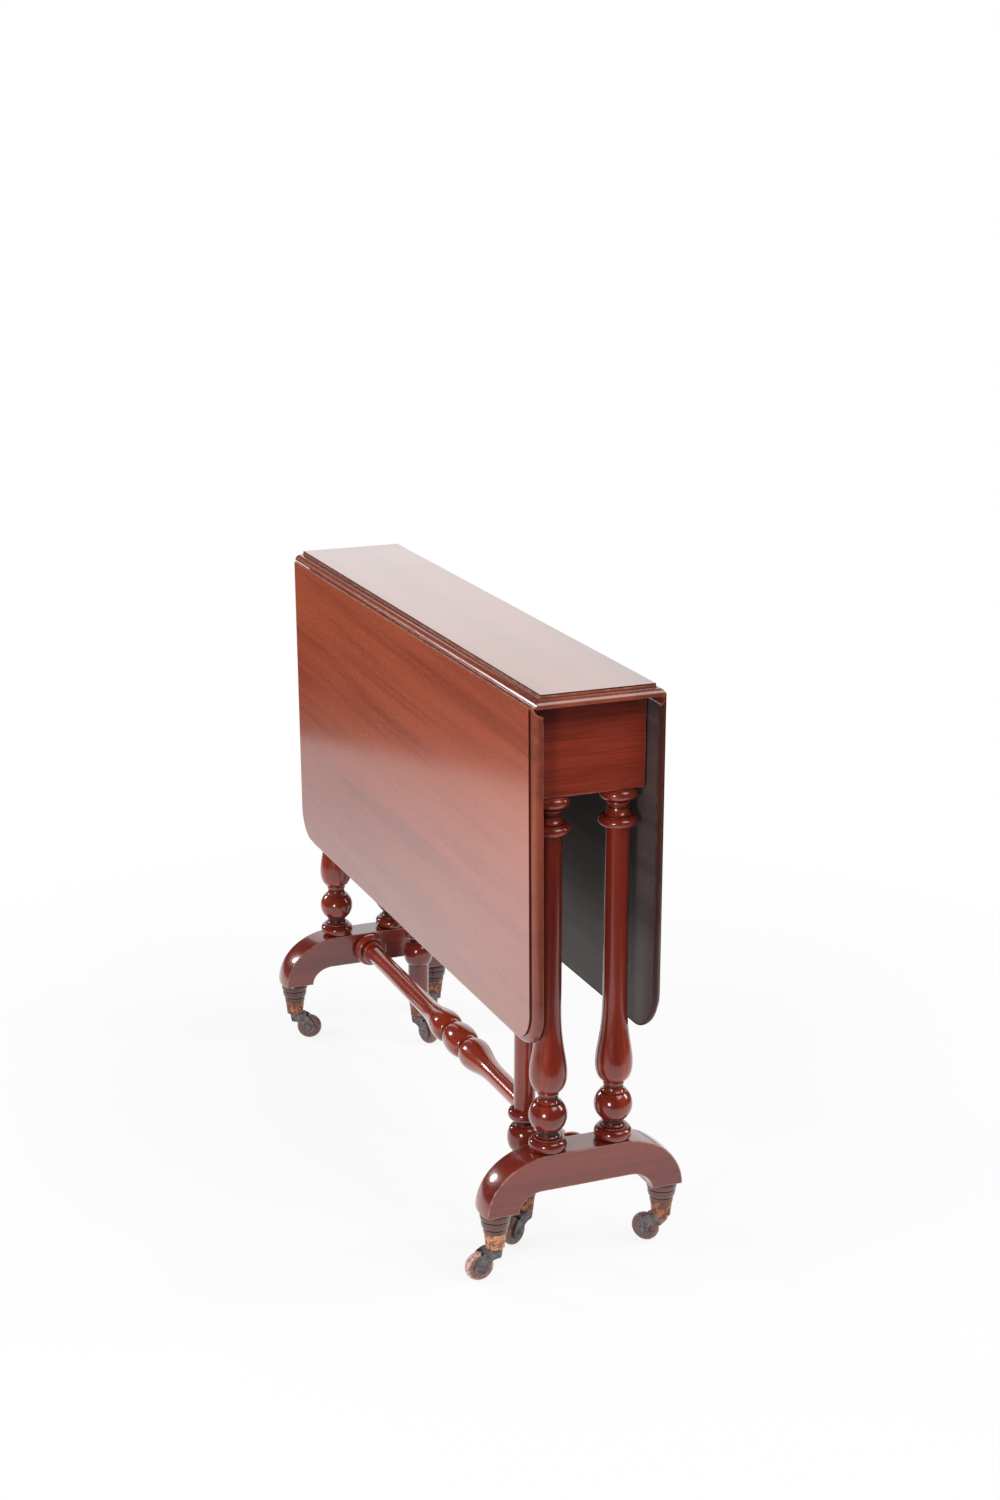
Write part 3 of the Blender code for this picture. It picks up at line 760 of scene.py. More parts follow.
class Finishes:
    """All finishes of the table, each made once."""

    def __init__(self) -> None:
        """Make the finishes."""
        along_x, along_y, along_z = Grain.ALONG_X, Grain.ALONG_Y, Grain.ALONG_Z
        even = dict(film=1.0, lines=0.06, flecks=0.05, relief=0.006)
        # The leaves' deep span darkens their lower halves, painted shade.
        board = dict(
            even, dark=(0.190, 0.036, 0.021), mid=(0.362, 0.075, 0.035),
            light=(0.435, 0.097, 0.045), film_rough=0.13, film_ior=1.7, rough=0.26, gloss=0.16,
            deep=(0.56, 0.40, 0.55))
        self.top = Mahogany(
            "top_polish", along_x, (0.160, 0.030, 0.0175), (0.300, 0.061, 0.029),
            (0.385, 0.085, 0.040), film_rough=0.10, gloss=0.5, **even).make()
        lean = (0.0, math.radians(-2.0), 0.0)
        self.front_leaf = Mahogany("front_leaf_polish", along_x, **board, tilt=lean).make()
        self.back_leaf = Mahogany("back_leaf_polish", along_x, **board, wear=0.12).make()
        self.underside = Mahogany(
            "dark_underside", along_x, (0.044, 0.026, 0.0255), (0.084, 0.054, 0.054),
            (0.118, 0.079, 0.079), rough=0.48, film=0.12, film_rough=0.35,
            worn=(0.30, 0.25, 0.23), wear=0.4).make()
        # The columns' deep span darkens them towards the foot, painted shade.
        self.column = Mahogany(
            "column_polish", along_z, film_rough=0.10, deep=(0.225, 0.172, 0.50)).make()
        self.foot = Mahogany(
            "foot_polish", along_y, (0.085, 0.009, 0.006), (0.165, 0.019, 0.011),
            (0.230, 0.032, 0.017), rough=0.26, film=0.95, film_rough=0.12, gloss=0.5,
            lines=0.15, flecks=0.1, relief=0.012).make()
        # The end rail blackens at its top, a painted shadow under the top's overhang.
        self.rail = Mahogany(
            "end_rail_polish", along_y, (0.062, 0.0068, 0.004), (0.195, 0.021, 0.0095),
            (0.275, 0.033, 0.0145), rough=0.30, film=0.6, wear=0.25, lines=0.60,
            overhang_shadow=(0.665, 0.712)).make()
        self.stretcher = Mahogany("stretcher_polish", along_x, film_rough=0.11).make()
        self.peg = Mahogany(
            "dark_peg", along_z, (0.047, 0.017, 0.014), (0.106, 0.041, 0.034),
            (0.150, 0.062, 0.051), rough=0.34, film=0.6, film_rough=0.12).make()
        self.bare = Mahogany(
            "bare_rail", along_x, (0.075, 0.040, 0.024), (0.135, 0.078, 0.048),
            (0.190, 0.115, 0.072), rough=0.60, film=0.0, wear=0.2).make()
        self.hinge = Metal(
            "hinge_brass", (0.62, 0.42, 0.17), (0.26, 0.17, 0.075), (0.10, 0.065, 0.035),
            0.95, 0.36).make()
        # A brighter brass for the right front castor's cup, a darker one for the others.
        self.cup = Metal(
            "cup_brass", (0.86, 0.36, 0.165), (0.20, 0.070, 0.044), (0.95, 0.62, 0.42),
            0.55, 0.36, (0.42, 0.64)).make()
        self.brown_cup = Metal(
            "brown_cup_brass", (0.66, 0.25, 0.105), (0.135, 0.050, 0.035),
            (0.26, 0.115, 0.080), 0.55, 0.36, (0.47, 0.66)).make()
        self.iron = Metal(
            "fork_iron", (0.205, 0.176, 0.176), (0.100, 0.082, 0.081), (0.045, 0.030, 0.026),
            0.55, 0.42).make()
        self.tread = Tread("wheel_brown").make()
        self.pale_tread = Tread("wheel_chafed", chafed=(0.74, 0.47, 0.41), chafe=0.95).make()


@dataclass(frozen=True)
class Step:
    """One step of a moulded edge: its place across the edge and its marks."""

    inset: float
    rise: float
    groove: float = 0.0
    wear: float = 0.0


@dataclass
class RuleJoint:
    """Sizes that the top's quarter round, the leaf's cove and the hinge share."""

    height: float = 0.720
    length: float = 0.862
    underside: float = 0.706
    axis_y: float = 0.0713
    axis_z: float = 0.7066
    ovolo: float = 0.0085
    fillet: float = 0.0016
    slope: float = 0.0007
    gap: float = 0.0008
    tip: float = 0.0002
    arris: float = 0.0004
    quirk: float = 0.0003
    bevel: Point = (0.0001, 0.0004)
    margin: float = 0.0026
    steps: int = 14

    @property
    def width(self) -> float:
        """Width of the fixed top."""
        return 2 * (self.axis_y + self.ovolo)

    @property
    def low(self) -> float:
        """Height of the underside over the hinge axis."""
        return self.underside - self.axis_z

    @property
    def crest(self) -> float:
        """Height of the upper face over the hinge axis."""
        return self.height - self.axis_z

    def round(self, radius: float, base: float, dark: float) -> list[Step]:
        """Steps of a quarter round.

        Args:
            radius: Its radius.
            base: Height of its centre over the hinge axis.
            dark: How much painted shade and dirt its nose carries.

        Returns:
            The steps, from the nose up.
        """
        found = []
        for step in range(self.steps + 1):
            share = step / self.steps
            across, up = 1 - math.cos(QUARTER * share), math.sin(QUARTER * share)
            # Painted shade: the round darkens just under the fillet over it.
            under_fillet = 0.6 * (1 - (1 - share) * self.steps / 2)
            groove = max(dark * (1 - 0.5 * share), under_fillet)
            found.append(Step(radius * across, base + radius * up, groove))
        return found

    def foot(self, dark: float) -> list[Step]:
        """Steps of the lower arris, from the underside up, carrying dark as painted shade and dirt.
        """
        return [Step(self.arris, self.low, dark, 0.8), Step(0.0, self.low + self.arris, dark, 0.8)]

    def lip(self, inset: float, fillet: float) -> list[Step]:
        """Steps of the fillet over a round, darkened with painted shade and dirt, and of the upper
        arris, up to the field.
        """
        return [Step(inset, self.crest - fillet + self.quirk, 1.0),
                Step(inset, self.crest - self.arris, 0.9),
                Step(inset + self.arris, self.crest, 0.1, 0.7)]

    def top_edge(self) -> list[Step]:
        """Steps of the fixed top's edge, from the underside up."""
        inset, rise = self.ovolo + self.slope, self.crest - self.fillet
        out, down = self.bevel
        # The bevel's pale wear line is partly worn arris and partly a painted reflection of the
        # ledge.
        bevel = [Step(inset - out, rise - down, 0.0, 0.9), Step(inset, rise, 0.4, 0.5)]
        nose = self.foot(0.0) + self.round(self.ovolo, 0.0, 0.30)
        return nose + bevel + self.lip(inset, self.fillet)


@dataclass
class TableTop:
    """The narrow fixed top, moulded on all four edges."""

    joint: RuleJoint
    finishes: Finishes
    groove_half: float = 0.0235
    groove_r: float = 0.0029

    def build(self) -> None:
        """Loft the board, groove it for the hinges and fit it."""
        joint, loops = self.joint, []
        for step in joint.top_edge():
            x, y = joint.length / 2 - step.inset, joint.width / 2 - step.inset
            corners = [(-x, -y), (x, -y), (x, y), (-x, y)]
            loops.append([Spot((u, v, joint.axis_z + step.rise), step.groove, step.wear)
                          for u, v in corners])
        blank = Blank.lofted(loops, joint.margin).paint_below()
        board = blank.piece("top_board", [self.finishes.top, self.finishes.underside])
        carve(board, [self._groove(x, side) for x in (-HINGE_X, HINGE_X) for side in Side])
        fit(board, "frame", "top_and_leaves", "centre_top")

    def _groove(self, x: float, side: Side) -> Blank:
        """Shape of the groove over one hinge's barrel."""
        lie = Matrix.Translation((x, side.sign * self.joint.axis_y, self.joint.axis_z))
        lie = lie @ Matrix.Rotation(QUARTER, 4, "Y")
        return Blank.turned(rod(self.groove_r, self.groove_half), 24).place(lie)


@dataclass(frozen=True)
class Screw:
    """A countersunk screw, of which only the head shows."""

    radius: float = 0.0034
    shank_r: float = 0.0016
    proud: float = 0.00005
    rim: float = 0.00025
    sink: float = 0.0003
    slot_half: float = 0.0004

    def head(self) -> Blank:
        """Turn the head and cut its slot."""
        lathe = Lathe(self.proud, 4).band(self.radius, self.rim).sweep(self.shank_r, self.sink)
        head = Blank.turned(lathe.close(), 24)
        cut = bmesh.ops.bisect_plane(head.bm, geom=head.geom, plane_co=(self.slot_half, 0, 0),
                                     plane_no=(1, 0, 0), clear_inner=True)
        bmesh.ops.edgeloop_fill(head.bm, edges=pick(cut["geom_cut"], bmesh.types.BMEdge))
        bmesh.ops.mirror(head.bm, geom=head.geom, axis="X", merge_dist=0.0)
        return head.tidy()


@dataclass
class DropLeaf:
    """One deep drop leaf, hanging, with its hollow edge, and its screwed hinges."""

    side: Side
    joint: RuleJoint
    finishes: Finishes
    reach: float = 0.4131
    corner: float = 0.050
    corner_steps: int = 18
    fillet: float = 0.0026
    round: float = 0.0100
    chip: float = 0.0035
    chip_from: float = 0.004
    flap_face: float = -0.0021
    top_screws: Sequence[Point] = ((-0.014, -0.0150), (0.014, -0.0150), (0.0, -0.0215))
    leaf_screws: Sequence[Point] = ((-0.014, 0.0160), (0.014, 0.0280), (-0.010, 0.0410),
                                    (0.012, 0.0500))

    @property
    def lean(self) -> float:
        """How far in the leaf hangs from plumb."""
        return math.radians(0.57) if self.side is Side.FRONT else 0.0

    @property
    def axis(self) -> Matrix:
        """Place of the hinge axis, turned to this side."""
        at = Matrix.Translation((0, self.side.sign * self.joint.axis_y, self.joint.axis_z))
        return at @ Matrix.Rotation(self.side.value, 4, "Z")

    @property
    def hang(self) -> Matrix:
        """Place of the hanging leaf, from a leaf that lies out flat."""
        return self.axis @ Matrix.Rotation(-QUARTER - self.lean, 4, "X")

    def _edge(self) -> list[Step]:
        """Steps of the leaf's three moulded edges, from the underside up."""
        # Painted shade: the back leaf's edges are darkened more than the front leaf's, as less
        # light reaches them.
        joint, dark = self.joint, 0.52 if self.side is Side.FRONT else 1.0
        nose = joint.round(self.round, joint.crest - self.fillet - self.round, dark)
        return joint.foot(dark) + nose + joint.lip(self.round, self.fillet)

    def _hollow_edge(self, x: float, rise: float) -> list[Spot]:
        """Points of the hollow edge at one height, chipped pale at the table's right end.

        Args:
            x: Half the leaf's length there.
            rise: Height over the hinge axis.

        Returns:
            Four points, from one end to the other.
        """
        joint = self.joint
        cove = math.sqrt(max((joint.ovolo + joint.gap) ** 2 - rise ** 2, joint.tip ** 2))
        # The hollow edge's upper strip is worn pale, partly wear and partly a painted reflection of
        # the strip.
        strip = 0.7 if rise > joint.ovolo else 0.0
        chipped = 1.0 if rise > self.chip_from else 0.0
        ends = [-x, self.chip - x, x - self.chip, x]
        return [Spot((u, cove, rise), 0.0, chipped if u == x * self.side.sign else strip)
                for u in ends]

    def build(self) -> None:
        """Loft the board, hang it and screw its hinges."""
        label, steps, loops = self.side.label, self.corner_steps, []
        for step in self._edge():
            x, radius = self.joint.length / 2 - step.inset, self.corner - step.inset
            far = self.reach - step.inset - radius
            loop = self._hollow_edge(x, step.rise)
            beside = loop[0].at[1] + self.chip
            rim = [(x, beside)] + arc((x - radius, far), (radius, radius), 0, 90, steps)
            rim += arc((radius - x, far), (radius, radius), 90, 180, steps) + [(-x, beside)]
            loops.append(loop + [Spot((u, v, step.rise), step.groove, step.wear) for u, v in rim])
        finishes = self.finishes
        polish = finishes.front_leaf if self.side is Side.FRONT else finishes.back_leaf
        blank = Blank.lofted(loops, self.joint.margin).paint_below().place(self.hang)
        board = blank.piece(label + "_leaf_board", [polish, finishes.underside])
        fit(board, label + "_leaf", "top_and_leaves", label + "_leaf")
        for end in End:
            self._dress_hinge(end)

    def _dress_hinge(self, end: End) -> None:
        """Finish one hinge and set its screws.

        Args:
            end: End of the table that the hinge is near.
        """
        label, brass = self.side.label, self.finishes.hinge
        x = HINGE_X * end.value * self.side.sign
        flaps = (("top", "frame", self.axis, self.top_screws),
                 ("leaf", label + "_leaf", self.hang, self.leaf_screws))
        for flap, body, axis, spots in flaps:
            name = f"{label}_{end.label}_hinge_{flap}"
            dress(name + "_flap", brass)
            heads = Blank()
            for number, (u, v) in enumerate(spots):
                at = Matrix.Translation((x + u, v, self.flap_face))
                slot_turn = Matrix.Rotation(0.7 + 1.9 * number, 4, "Z")
                heads.join(Screw().head().place(axis @ at @ slot_turn))
            fit(heads.piece(name + "_screws", [brass]), body, "hinge_brass")


@dataclass
class EndTrestle:
    """One end of the table: end rail, two columns, arched foot and their pegs."""

    end: End
    finishes: Finishes
    column_y: float = 0.0423
    rail_outer: float = 0.404
    rail_thick: float = 0.030
    rail_half: float = 0.0685
    rail_bottom: float = 0.593
    rail_top: float = 0.7057
    foot_thick: float = 0.041
    foot_top: float = 0.1545
    foot_bottom: float = 0.086
    foot_reach: float = 0.1266
    foot_flat: float = 0.046
    foot_crown: float = 0.0030
    arch_top: float = 0.110
    arch_flat: float = 0.057
    arch_reach: float = 0.0865

    def build(self) -> None:
        """Make the pieces of this end."""
        label, finishes = self.end.label, self.finishes
        turn = Matrix.Rotation(0.0 if self.end is End.RIGHT else math.pi, 4, "Z")
        low = (self.rail_outer - self.rail_thick, -self.rail_half, self.rail_bottom)
        high = (self.rail_outer, self.rail_half, self.rail_top)
        rail = Blank.box(low, high).soften(0.0009).place(turn)
        fit(rail.piece(label + "_rail_board", [finishes.rail]), "frame", "polished_frame",
            label + "_end_rail")

        # The foot's outline is drawn in XY: its X goes along Y, its Y up and its Z along X.
        upright = Matrix(((0, 0, 1, TRESTLE_X), (1, 0, 0, 0), (0, 1, 0, 0), (0, 0, 0, 1)))
        foot = Blank.lofted(self._foot_loops(), 0.0024).soften(0.0007, angle=50.0)
        fit(foot.place(turn @ upright).piece(label + "_arched_foot", [finishes.foot]), "frame",
            "polished_frame", label + "_foot")

        for side in Side:
            name, x = f"{label}_{side.label}", self.end.value * TRESTLE_X
            column = Blank.turned(self._column())
            column.place(Matrix.Translation((x, side.sign * self.column_y, 0)))
            fit(column.piece(name + "_turned_column", [finishes.column]), "frame",
                "polished_frame", name + "_column")
            peg = Blank.turned(self._peg(), 48)
            peg.place(Matrix.Translation((x, side.sign * PEG_Y, 0)))
            fit(peg.piece(name + "_turned_peg", [finishes.peg]), "frame", "dark_pegs",
                name + "_peg")

    def _foot_outline(self, reach: float) -> list[Point]:
        """Arched foot seen from the end, at one reach: half of it, then its mirror image."""
        low = self.foot_bottom
        outer = (reach - self.foot_flat, self.foot_top - low)
        inner = (self.arch_reach - self.arch_flat, self.arch_top - low)
        half = arc((self.foot_flat, low), outer, 90, 0, 30)
        half += arc((self.arch_flat, low), inner, 0, 90, 16)
        return half + [(-y, z) for y, z in reversed(half)]

    def _foot_loops(self) -> list[list[Spot]]:
        """Outlines of the foot across its thickness, its ends swelling between its faces."""
        loops = []
        for share in (-1.0, -0.86, -0.60, -0.30, 0.0, 0.30, 0.60, 0.86, 1.0):
            outline = self._foot_outline(self.foot_reach + self.foot_crown * (1 - share ** 2))
            loops.append([Spot((y, z, share * self.foot_thick / 2)) for y, z in outline])
        return loops

    def _column(self) -> list[Point]:
        """Profile of a column, from under the end rail to the foot."""
        lathe = Lathe(self.rail_bottom - GAP)
        # Cap, neck and ring.
        lathe.bead(0.0227, 0.0165, 0.0135).band(0.0116, 0.0020).bead(0.0142, 0.0130, 0.0035)
        lathe.band(0.0118, 0.0025).sweep(0.0176, 0.0108).band(0.0164, 0.0009).band(0.0190, 0.0011)
        lathe.bead(0.0233, 0.0176, 0.0112).band(0.0152, 0.0032)
        # Shaft and vase.
        lathe.band(0.0138, 0.1840, 0.0146).swell(0.0226, 0.1095).sweep(0.0120, 0.0215)
        # Collar and ball.
        lathe.bead(0.0130, 0.0120, 0.0048).band(0.0116, 0.0016).sweep(0.0160, 0.0072)
        lathe.band(0.0150, 0.0014).ball(0.0232, 0.0160, 0.0195)
        # Base.
        lathe.band(0.0122, 0.0016).sweep(0.0160, 0.0052)
        lathe.band(0.0146, 0.0008).band(0.0176, 0.0013).band(0.0164, 0.0008)
        lathe.bead(0.0230, 0.0178, lathe.height - self.foot_top - GAP)
        return lathe.close()

    def _peg(self) -> list[Point]:
        """Profile of a peg, from under the foot to the castor's cup."""
        lathe = Lathe(self.foot_bottom - GAP, 6)
        lathe.bead(0.0187, 0.0168, 0.0098).band(0.0152, 0.0009).band(0.0172, 0.0012)
        lathe.sweep(0.0153, 0.0079).band(0.0136, 0.0016)
        lathe.band(0.0146, lathe.height - CUP_TOP - GAP, 0.0144)
        return lathe.band(*SPIGOT).close()


@dataclass
class Stretcher:
    """Turned stretcher between the feet, alike on both sides of its middle ball."""

    finishes: Finishes
    height: float = 0.131
    end: float = 0.3672
    vase_end: float = 0.0520

    def build(self) -> None:
        """Turn the stretcher and lay it along the table."""
        lathe = Lathe(self.end)
        lathe.bead(0.0235, 0.0190, 0.0150).band(0.0140, 0.0025).bead(0.0172, 0.0145, 0.0080)
        lathe.band(0.0122, 0.1900, 0.0130).swell(0.0215, lathe.height - self.vase_end)
        lathe.sweep(0.0125, 0.0185).band(0.0128, 0.0030).band(0.0108, 0.0040).band(0.0128, 0.0004)
        lathe.rise(0.0222, lathe.height)
        lie = Matrix.Translation((0, 0, self.height)) @ Matrix.Rotation(QUARTER, 4, "Y")
        bar = Blank.turned(both_ways(lathe.points)).place(lie)
        fit(bar.piece("turned_stretcher", [self.finishes.stretcher]), "frame", "polished_frame",
            "stretcher")


@dataclass
class Gate:
    """One gate: rails, knuckle pin, and the turned leg that holds the leaf up."""

    side: Side
    finishes: Finishes
    y: float = 0.040
    radius: float = 0.3125
    head: Point = (0.027, 0.020)
    head_bottom: float = 0.588
    head_top: float = 0.7054
    tenon: float = 0.004
    ring_top: float = 0.1745
    quirk_top: float = 0.0026

    @property
    def open(self) -> float:
        """How far open the gate stands."""
        return 0.0 if self.side is Side.FRONT else math.radians(3.0)

    @property
    def axis(self) -> Matrix:
        """Place of the knuckle, turned to the gate."""
        return (Matrix.Translation((0, self.side.sign * self.y, 0))
                @ Matrix.Rotation(self.side.value - math.pi - self.open, 4, "Z"))

    def build(self) -> None:
        """Turn the leg, saw its head and dress the rails."""
        label, finishes = self.side.label, self.finishes
        x, y = self.head[0] / 2, self.head[1] / 2
        block = Blank.box((-x, -y, self.head_bottom), (x, y, self.head_top)).soften(0.0008)
        leg = Blank.turned(self._leg()).join(block)
        leg.place(self.axis @ Matrix.Translation((self.radius, 0, 0)))
        fit(leg.piece(label + "_turned_gate_leg", [finishes.column]), label + "_gate",
            "polished_frame", label + "_gate_leg")
        for node in ("_stub_rail", "_fly_rail", "_core_rail"):
            dress(label + node, finishes.bare)
        dress(label + "_knuckle_pin", finishes.iron)

    def _leg(self) -> list[Point]:
        """Profile of the leg, from inside its head to the castor's cup."""
        lathe = Lathe(self.head_bottom + self.tenon)
        lathe.band(0.0095, 0.0045).bead(0.0136, 0.0115, 0.0120)
        lathe.band(0.0124, lathe.height - self.ring_top, 0.0132)
        lathe.bead(0.0205, 0.0145, 0.0145).band(0.0112, 0.0040).sweep(0.0135, 0.0035)
        lathe.bead(0.0212, 0.0135, 0.0330)
        lathe.band(0.0150, lathe.height - CUP_TOP - self.quirk_top, 0.0144).band(0.0136, 0.0010)
        lathe.band(0.0145, lathe.height - CUP_TOP - GAP, 0.0143)
        return lathe.band(*SPIGOT).close()


@dataclass
class Castor:
    """One castor: brass cup, iron fork, riveted axle and wheel."""

    name: str
    body: str
    x: float
    y: float
    heading: float
    finishes: Finishes
    cup_bottom: float = 0.0390
    cup_r: float = 0.0140
    rim: float = 0.0024
    ring: float = 0.0012
    wheel_r: float = 0.0177
    wheel_width: float = 0.0115
    wheel_edge: float = 0.0036
    bore: float = 0.0026
    worn: Point = (0.74, 0.90)
    play: float = 0.0006
    slot_play: float = 0.0015
    cheek: float = 0.0028
    trail: float = 0.0205
    boss_r: float = 0.0083
    crown_r: float = 0.0105
    rivet: Point = (0.0040, 0.0012)
    axle_r: float = 0.0022

    @property
    def rubbed(self) -> bool:
        """Whether the castor is the right front one, which takes the brighter brass and the paler
        wheel.
        """
        return self.name == "right_front"

    @property
    def brass(self) -> Material:
        """Brass of the castor's cup."""
        return self.finishes.cup if self.rubbed else self.finishes.brown_cup

    @property
    def slot_half(self) -> float:
        """Half the width of the wheel's slot."""
        return self.wheel_width / 2 + self.play

    @property
    def half(self) -> float:
        """Half the fork's width."""
        return self.slot_half + self.cheek

    @property
    def swivel(self) -> Matrix:
        """Place of the swivel, turned the way the castor trails."""
        turn = Matrix.Rotation(math.radians(self.heading), 4, "Z")
        return Matrix.Translation((self.x, self.y, 0)) @ turn

    @property
    def axle(self) -> Matrix:
        """Place of the axle, its Z along the axle."""
        across = Matrix.Rotation(QUARTER, 4, "X")
        return self.swivel @ Matrix.Translation((self.trail, 0, self.wheel_r)) @ across

    def build(self) -> None:
        """Make the castor's four pieces."""
        name, finishes = self.name, self.finishes
        cup = Blank.turned(self._cup(), 48).place(Matrix.Translation((self.x, self.y, 0)))
        fit(cup.piece(name + "_brass_cup", [self.brass]), self.body, "cup_brass",
            name + "_castor_cup")
        self._build_fork()
        axle = Blank.turned(self._axle(), 32).place(self.axle)
        fit(axle.piece(name + "_rivet", [finishes.iron]), name + "_castor", "iron",
            name + "_castor_axle")
        wheel = Blank.turned(self._wheel(), 72, ring=True)
        start, full = self.worn
        for vert in wheel.bm.verts:
            share = (vert.co.xy.length / self.wheel_r - start) / (full - start)
            vert[wheel.wear] = max(0.0, min(1.0, share))
        tread = finishes.pale_tread if self.rubbed else finishes.tread
        fit(wheel.place(self.axle).piece(name + "_turned_wheel", [tread]), name + "_wheel",
            "castor_wheel", name + "_castor_wheel")

    def _build_fork(self) -> None:
        """Saw the fork, cut the wheel's slot and soften it."""
        crown, name = self.cup_bottom - GAP, self.name
        line = [(0.0100, crown), (-0.0060, crown), (-0.0052, 0.0318), (-0.0040, 0.0278),
                (0.0030, 0.0268), (0.0072, 0.0252), (0.0100, 0.0228), (0.0121, 0.0195)]
        line += arc((self.trail, self.wheel_r), (self.boss_r, self.boss_r), 185, 380, 20)
        line += [(0.0272, 0.0250), (0.0238, 0.0300), (0.0205, 0.0338), (0.0165, 0.0365),
                 (0.0130, 0.0380)]
        lie = self.swivel @ Matrix.Rotation(QUARTER, 4, "X")
        rough = Blank.sawn(line, 2 * self.half).place(lie).piece(name + "_iron_fork", [])
        slot = Blank.turned(rod(self.wheel_r + self.slot_play, self.slot_half), 48)
        carve(rough, [slot.place(self.axle)])
        fork = Blank()
        fork.bm.from_mesh(rough.data)
        bpy.data.objects.remove(rough, do_unlink=True)
        fork.tidy().soften(0.0004, 0.0008, 50.0)
        finishes = [self.finishes.iron]
        if name == "right_back":
            self._gild(fork)
            finishes.append(self.brass)
        fit(fork.piece(name + "_iron_fork", finishes, 40.0), name + "_castor", "iron",
            name + "_castor_fork")

    def _gild(self, fork: Blank) -> None:
        """Give the crown of a fork, in its place, the cup's brass."""
        swivel = Vector((self.x, self.y))
        for face in fork.bm.faces:
            if (face.calc_center_median().xy - swivel).length < self.crown_r:
                face.material_index = 1

    def _cup(self) -> list[Point]:
        """Profile of the cup, from its rim to the fork."""
        lathe = Lathe(CUP_TOP, 4).band(0.0120, 0.0).bead(self.cup_r, self.cup_r - 0.0006, self.rim)
        lathe.band(self.cup_r - 0.0007, lathe.height - self.cup_bottom - self.ring, 0.0114)
        return lathe.bead(0.0116, 0.0107, self.ring).close()

    def _axle(self) -> list[Point]:
        """Profile of the axle, with a rivet head at each end."""
        end = self.half + GAP
        lathe = Lathe(end + self.rivet[1], 6).rise(*self.rivet).band(self.axle_r, end)
        return both_ways(lathe.points)

    def _wheel(self) -> list[Point]:
        """Profile of the wheel: round tread, flat cheeks and bore."""
        half, edge, bevel = self.wheel_width / 2, self.wheel_edge, 0.0004
        upper = [(self.bore, half - bevel), (self.bore + bevel, half)]
        return both_ways(upper + arc((self.wheel_r - edge, 0.0), (edge, half), 90, 0, 14))


@dataclass(frozen=True)
class SoftBox:
    """A soft lamp: its place, aim, face and watts, and whether polish mirrors it."""

    name: str
    at: Triple
    aim: Triple
    size: Point
    power: float
    mirrored: bool = True

    def build(self) -> None:
        """Hang the lamp."""
        lamp = bpy.data.lights.new(self.name, "AREA")
        lamp.shape, lamp.energy = "RECTANGLE", self.power
        lamp.size, lamp.size_y = self.size
        obj = bpy.data.objects.new(self.name, lamp)
        obj.location, obj.visible_glossy = self.at, self.mirrored
        obj.rotation_mode = "QUATERNION"
        obj.rotation_quaternion = (Vector(self.aim) - Vector(self.at)).to_track_quat("-Z", "Y")
        bpy.context.scene.collection.objects.link(obj)


LAMPS = (SoftBox("left_fill", (-0.30, -2.20, 1.60), (0, 0, 0.40), (1.4, 1.0), 27.0, False),
         SoftBox("left_box", (-2.15, -1.50, 1.10), (0, 0, 0.40), (0.30, 0.45), 14.0),
         SoftBox("right_box", (0.75, 2.10, 1.35), (0, 0, 0.40), (0.5, 1.2), 20.0),
         SoftBox("front_box", (2.10, -1.85, 0.70), (0, 0, 0.40), (0.45, 0.50), 25.0),
         SoftBox("end_box", (1.92, 1.06, 2.57), (0.40, 0, 0.50), (1.5, 1.5), 29.0),
         SoftBox("back_box", (-3.10, 1.40, 1.35), (0, 0, 0.60), (2.2, 2.2), 3.0))


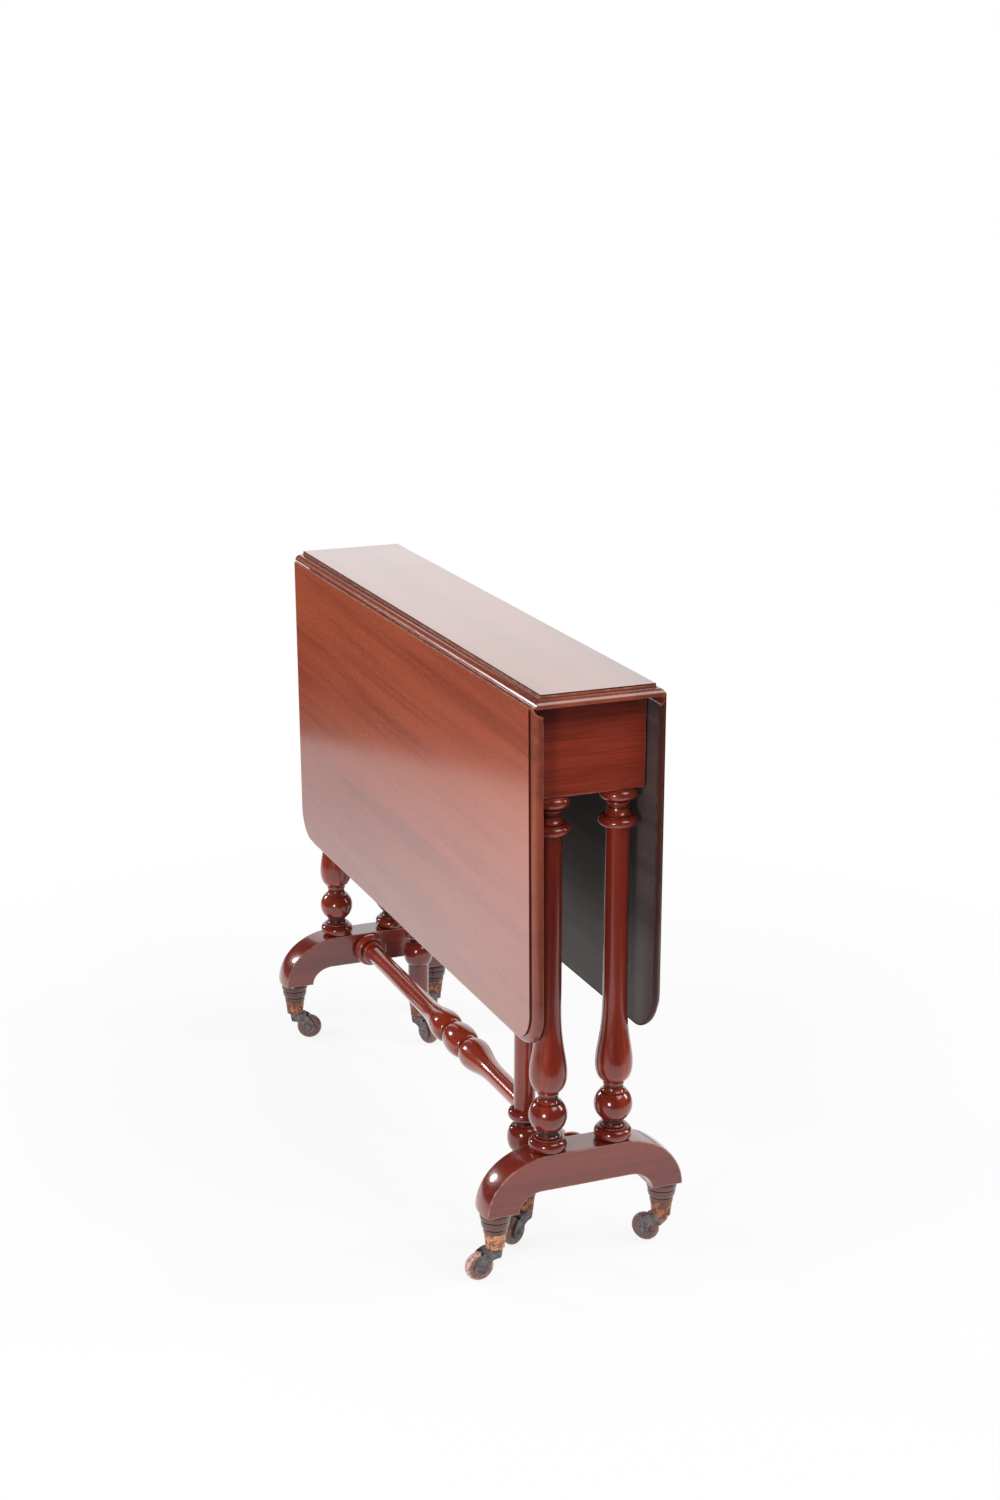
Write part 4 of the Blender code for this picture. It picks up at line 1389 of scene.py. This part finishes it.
@dataclass
class Studio:
    """White floor, dark flats out of sight, soft lamps and the camera."""

    azimuth: float = 67.04
    elevation: float = 16.48
    roll: float = 0.28
    distance: float = 3.125
    target: Triple = (-0.0114, 0.0901, 0.5146)
    lens: float = 57.34
    shift: Point = (-0.01393, 0.0034)
    floor_half: float = 9.0
    cloth_z: float = 0.002
    flat_height: float = 3.6

    def build(self) -> None:
        """Set up the studio."""
        self._floor()
        self._flats()
        self._world()
        for lamp in LAMPS:
            lamp.build()
        self._camera()

    def _floor(self) -> None:
        """Lay the floor: white paper that keeps a faint shadow round the table."""
        bm = bmesh.new()
        bmesh.ops.create_grid(bm, x_segments=1, y_segments=1, size=self.floor_half)
        shade = Shade("white_paper")
        shade.feed(Base_Color=(0.90, 0.90, 0.90), Roughness=0.9, Specular_IOR_Level=0.0)
        away = shade.node("ShaderNodeVectorMath", {"operation": "LENGTH"}, {0: shade.place},
                          out="Value")
        seen, polish, glass = shade.rays()
        # Polish sees the floor as a glow, a painted reflection of lit paper, that dims away from
        # the table.
        fade = shade.mix(polish * away.between(0.80, 1.60), (1.0, 1.0, 1.0), (0.62, 0.62, 0.62))
        glow = shade.node("ShaderNodeEmission", None, {"Color": fade})
        share = (seen * (0.84 + 0.16 * away.between(0.50, 1.30))).most(polish).most(glass)
        shade.blend("Material Output", share, Value(shade, shade.shader.outputs[0]), glow)
        linked("paper_floor", bm, [shade.material])

    def _flats(self) -> None:
        """Lay dark cloth off the white floor and stand dark flats far off, for reflections."""
        bm, far, z = bmesh.new(), self.floor_half, self.cloth_z
        for patch in ([(-4.40, 0.28), (-3.20, 0.28), (1.15, -2.40), (1.15, -far), (-4.40, -far)],
                      [(1.15, -far), (far, -far), (far, 1.15), (1.15, 1.15)],
                      [(-3.20, 1.15), (far, 1.15), (far, far), (-3.20, far)]):
            bmesh.ops.contextual_create(bm, geom=[bm.verts.new((x, y, z)) for x, y in patch])
        plan = [(-4.30, -0.20), (-3.60, -1.80), (-2.40, -3.00), (0.40, -3.80), (3.40, -2.60),
                (3.80, 1.20), (2.20, 3.60), (-0.60, 4.20), (-2.40, 3.60)]
        feet = [bm.verts.new((x, y, z)) for x, y in plan]
        line = [bm.edges.new(pair) for pair in zip(feet, feet[1:])]
        raised = bmesh.ops.extrude_edge_only(bm, edges=line)["geom"]
        tops = pick(raised, bmesh.types.BMVert)
        bmesh.ops.translate(bm, vec=(0, 0, self.flat_height), verts=tops)
        bmesh.ops.contextual_create(bm, geom=tops)
        shade = Shade("dark_cloth")
        shade.feed(Base_Color=(0.012, 0.012, 0.012), Roughness=1.0, Specular_IOR_Level=0.0)
        flats = linked("dark_flats", bm, [shade.material])
        flats.visible_camera = flats.visible_diffuse = flats.visible_shadow = False
        flats.visible_transmission = False

    def _world(self) -> None:
        """Light the room evenly, with a white background."""
        world = bpy.data.worlds.new("white_room")
        bpy.context.scene.world = world
        world.use_nodes = True
        room = Nodes(world.node_tree)
        even, white = (room.node("ShaderNodeBackground", None,
                                 {"Color": (1.0, 1.0, 1.0), "Strength": strength})
                       for strength in (0.36, 1.0))
        seen, polish, glass = room.rays()
        room.blend("World Output", seen.most(polish).most(glass), even, white)

    def _camera(self) -> None:
        """Stand the camera where the photograph was taken."""
        a, e, r = (math.radians(v) for v in (self.azimuth, self.elevation, self.roll))
        back = Vector((math.sin(a) * math.cos(e), -math.cos(a) * math.cos(e), math.sin(e)))
        level = Vector((math.cos(a), math.sin(a), 0.0))
        up = back.cross(level)
        right = level * math.cos(r) + up * math.sin(r)
        up = up * math.cos(r) - level * math.sin(r)
        lens = bpy.data.cameras.new("camera")
        lens.sensor_width, lens.lens = 36.0, self.lens
        lens.shift_x, lens.shift_y = self.shift
        lens.dof.use_dof = False
        camera = bpy.data.objects.new("camera", lens)
        place = Matrix((right, up, back)).transposed().to_4x4()
        place.translation = Vector(self.target) + back * self.distance
        camera.matrix_world = place
        scene = bpy.context.scene
        scene.collection.objects.link(camera)
        scene.camera = camera
        scene.view_settings.view_transform = "Standard"


# Way that each castor trails, in degrees.
HEADINGS = {"right_front": -90.0, "right_back": 218.0, "left_front": 67.0, "left_back": 175.0,
            "front_gate": -62.0, "back_gate": 22.0}


def castors(finishes: Finishes) -> list[Castor]:
    """List the six castors.

    Args:
        finishes: The table's finishes.

    Returns:
        Four under the feet, two under the gate legs.
    """
    found = []
    for end in End:
        for side in Side:
            name, x, y = f"{end.label}_{side.label}", end.value * TRESTLE_X, side.sign * PEG_Y
            found.append(Castor(name, "frame", x, y, HEADINGS[name], finishes))
    for side in Side:
        name, gate = side.label + "_gate", Gate(side, finishes)
        at = gate.axis @ Vector((gate.radius, 0.0, 0.0))
        found.append(Castor(name, name, at.x, at.y, HEADINGS[name], finishes))
    return found


def main() -> None:
    """Dress the table and set it in the studio."""
    logging.basicConfig(level=logging.INFO, format="%(message)s")
    Studio().build()
    finishes, joint = Finishes(), RuleJoint()
    TableTop(joint, finishes).build()
    for side in Side:
        DropLeaf(side, joint, finishes).build()
        Gate(side, finishes).build()
    for end in End:
        EndTrestle(end, finishes).build()
    Stretcher(finishes).build()
    for castor in castors(finishes):
        castor.build()


if __name__ == "__main__":
    main()
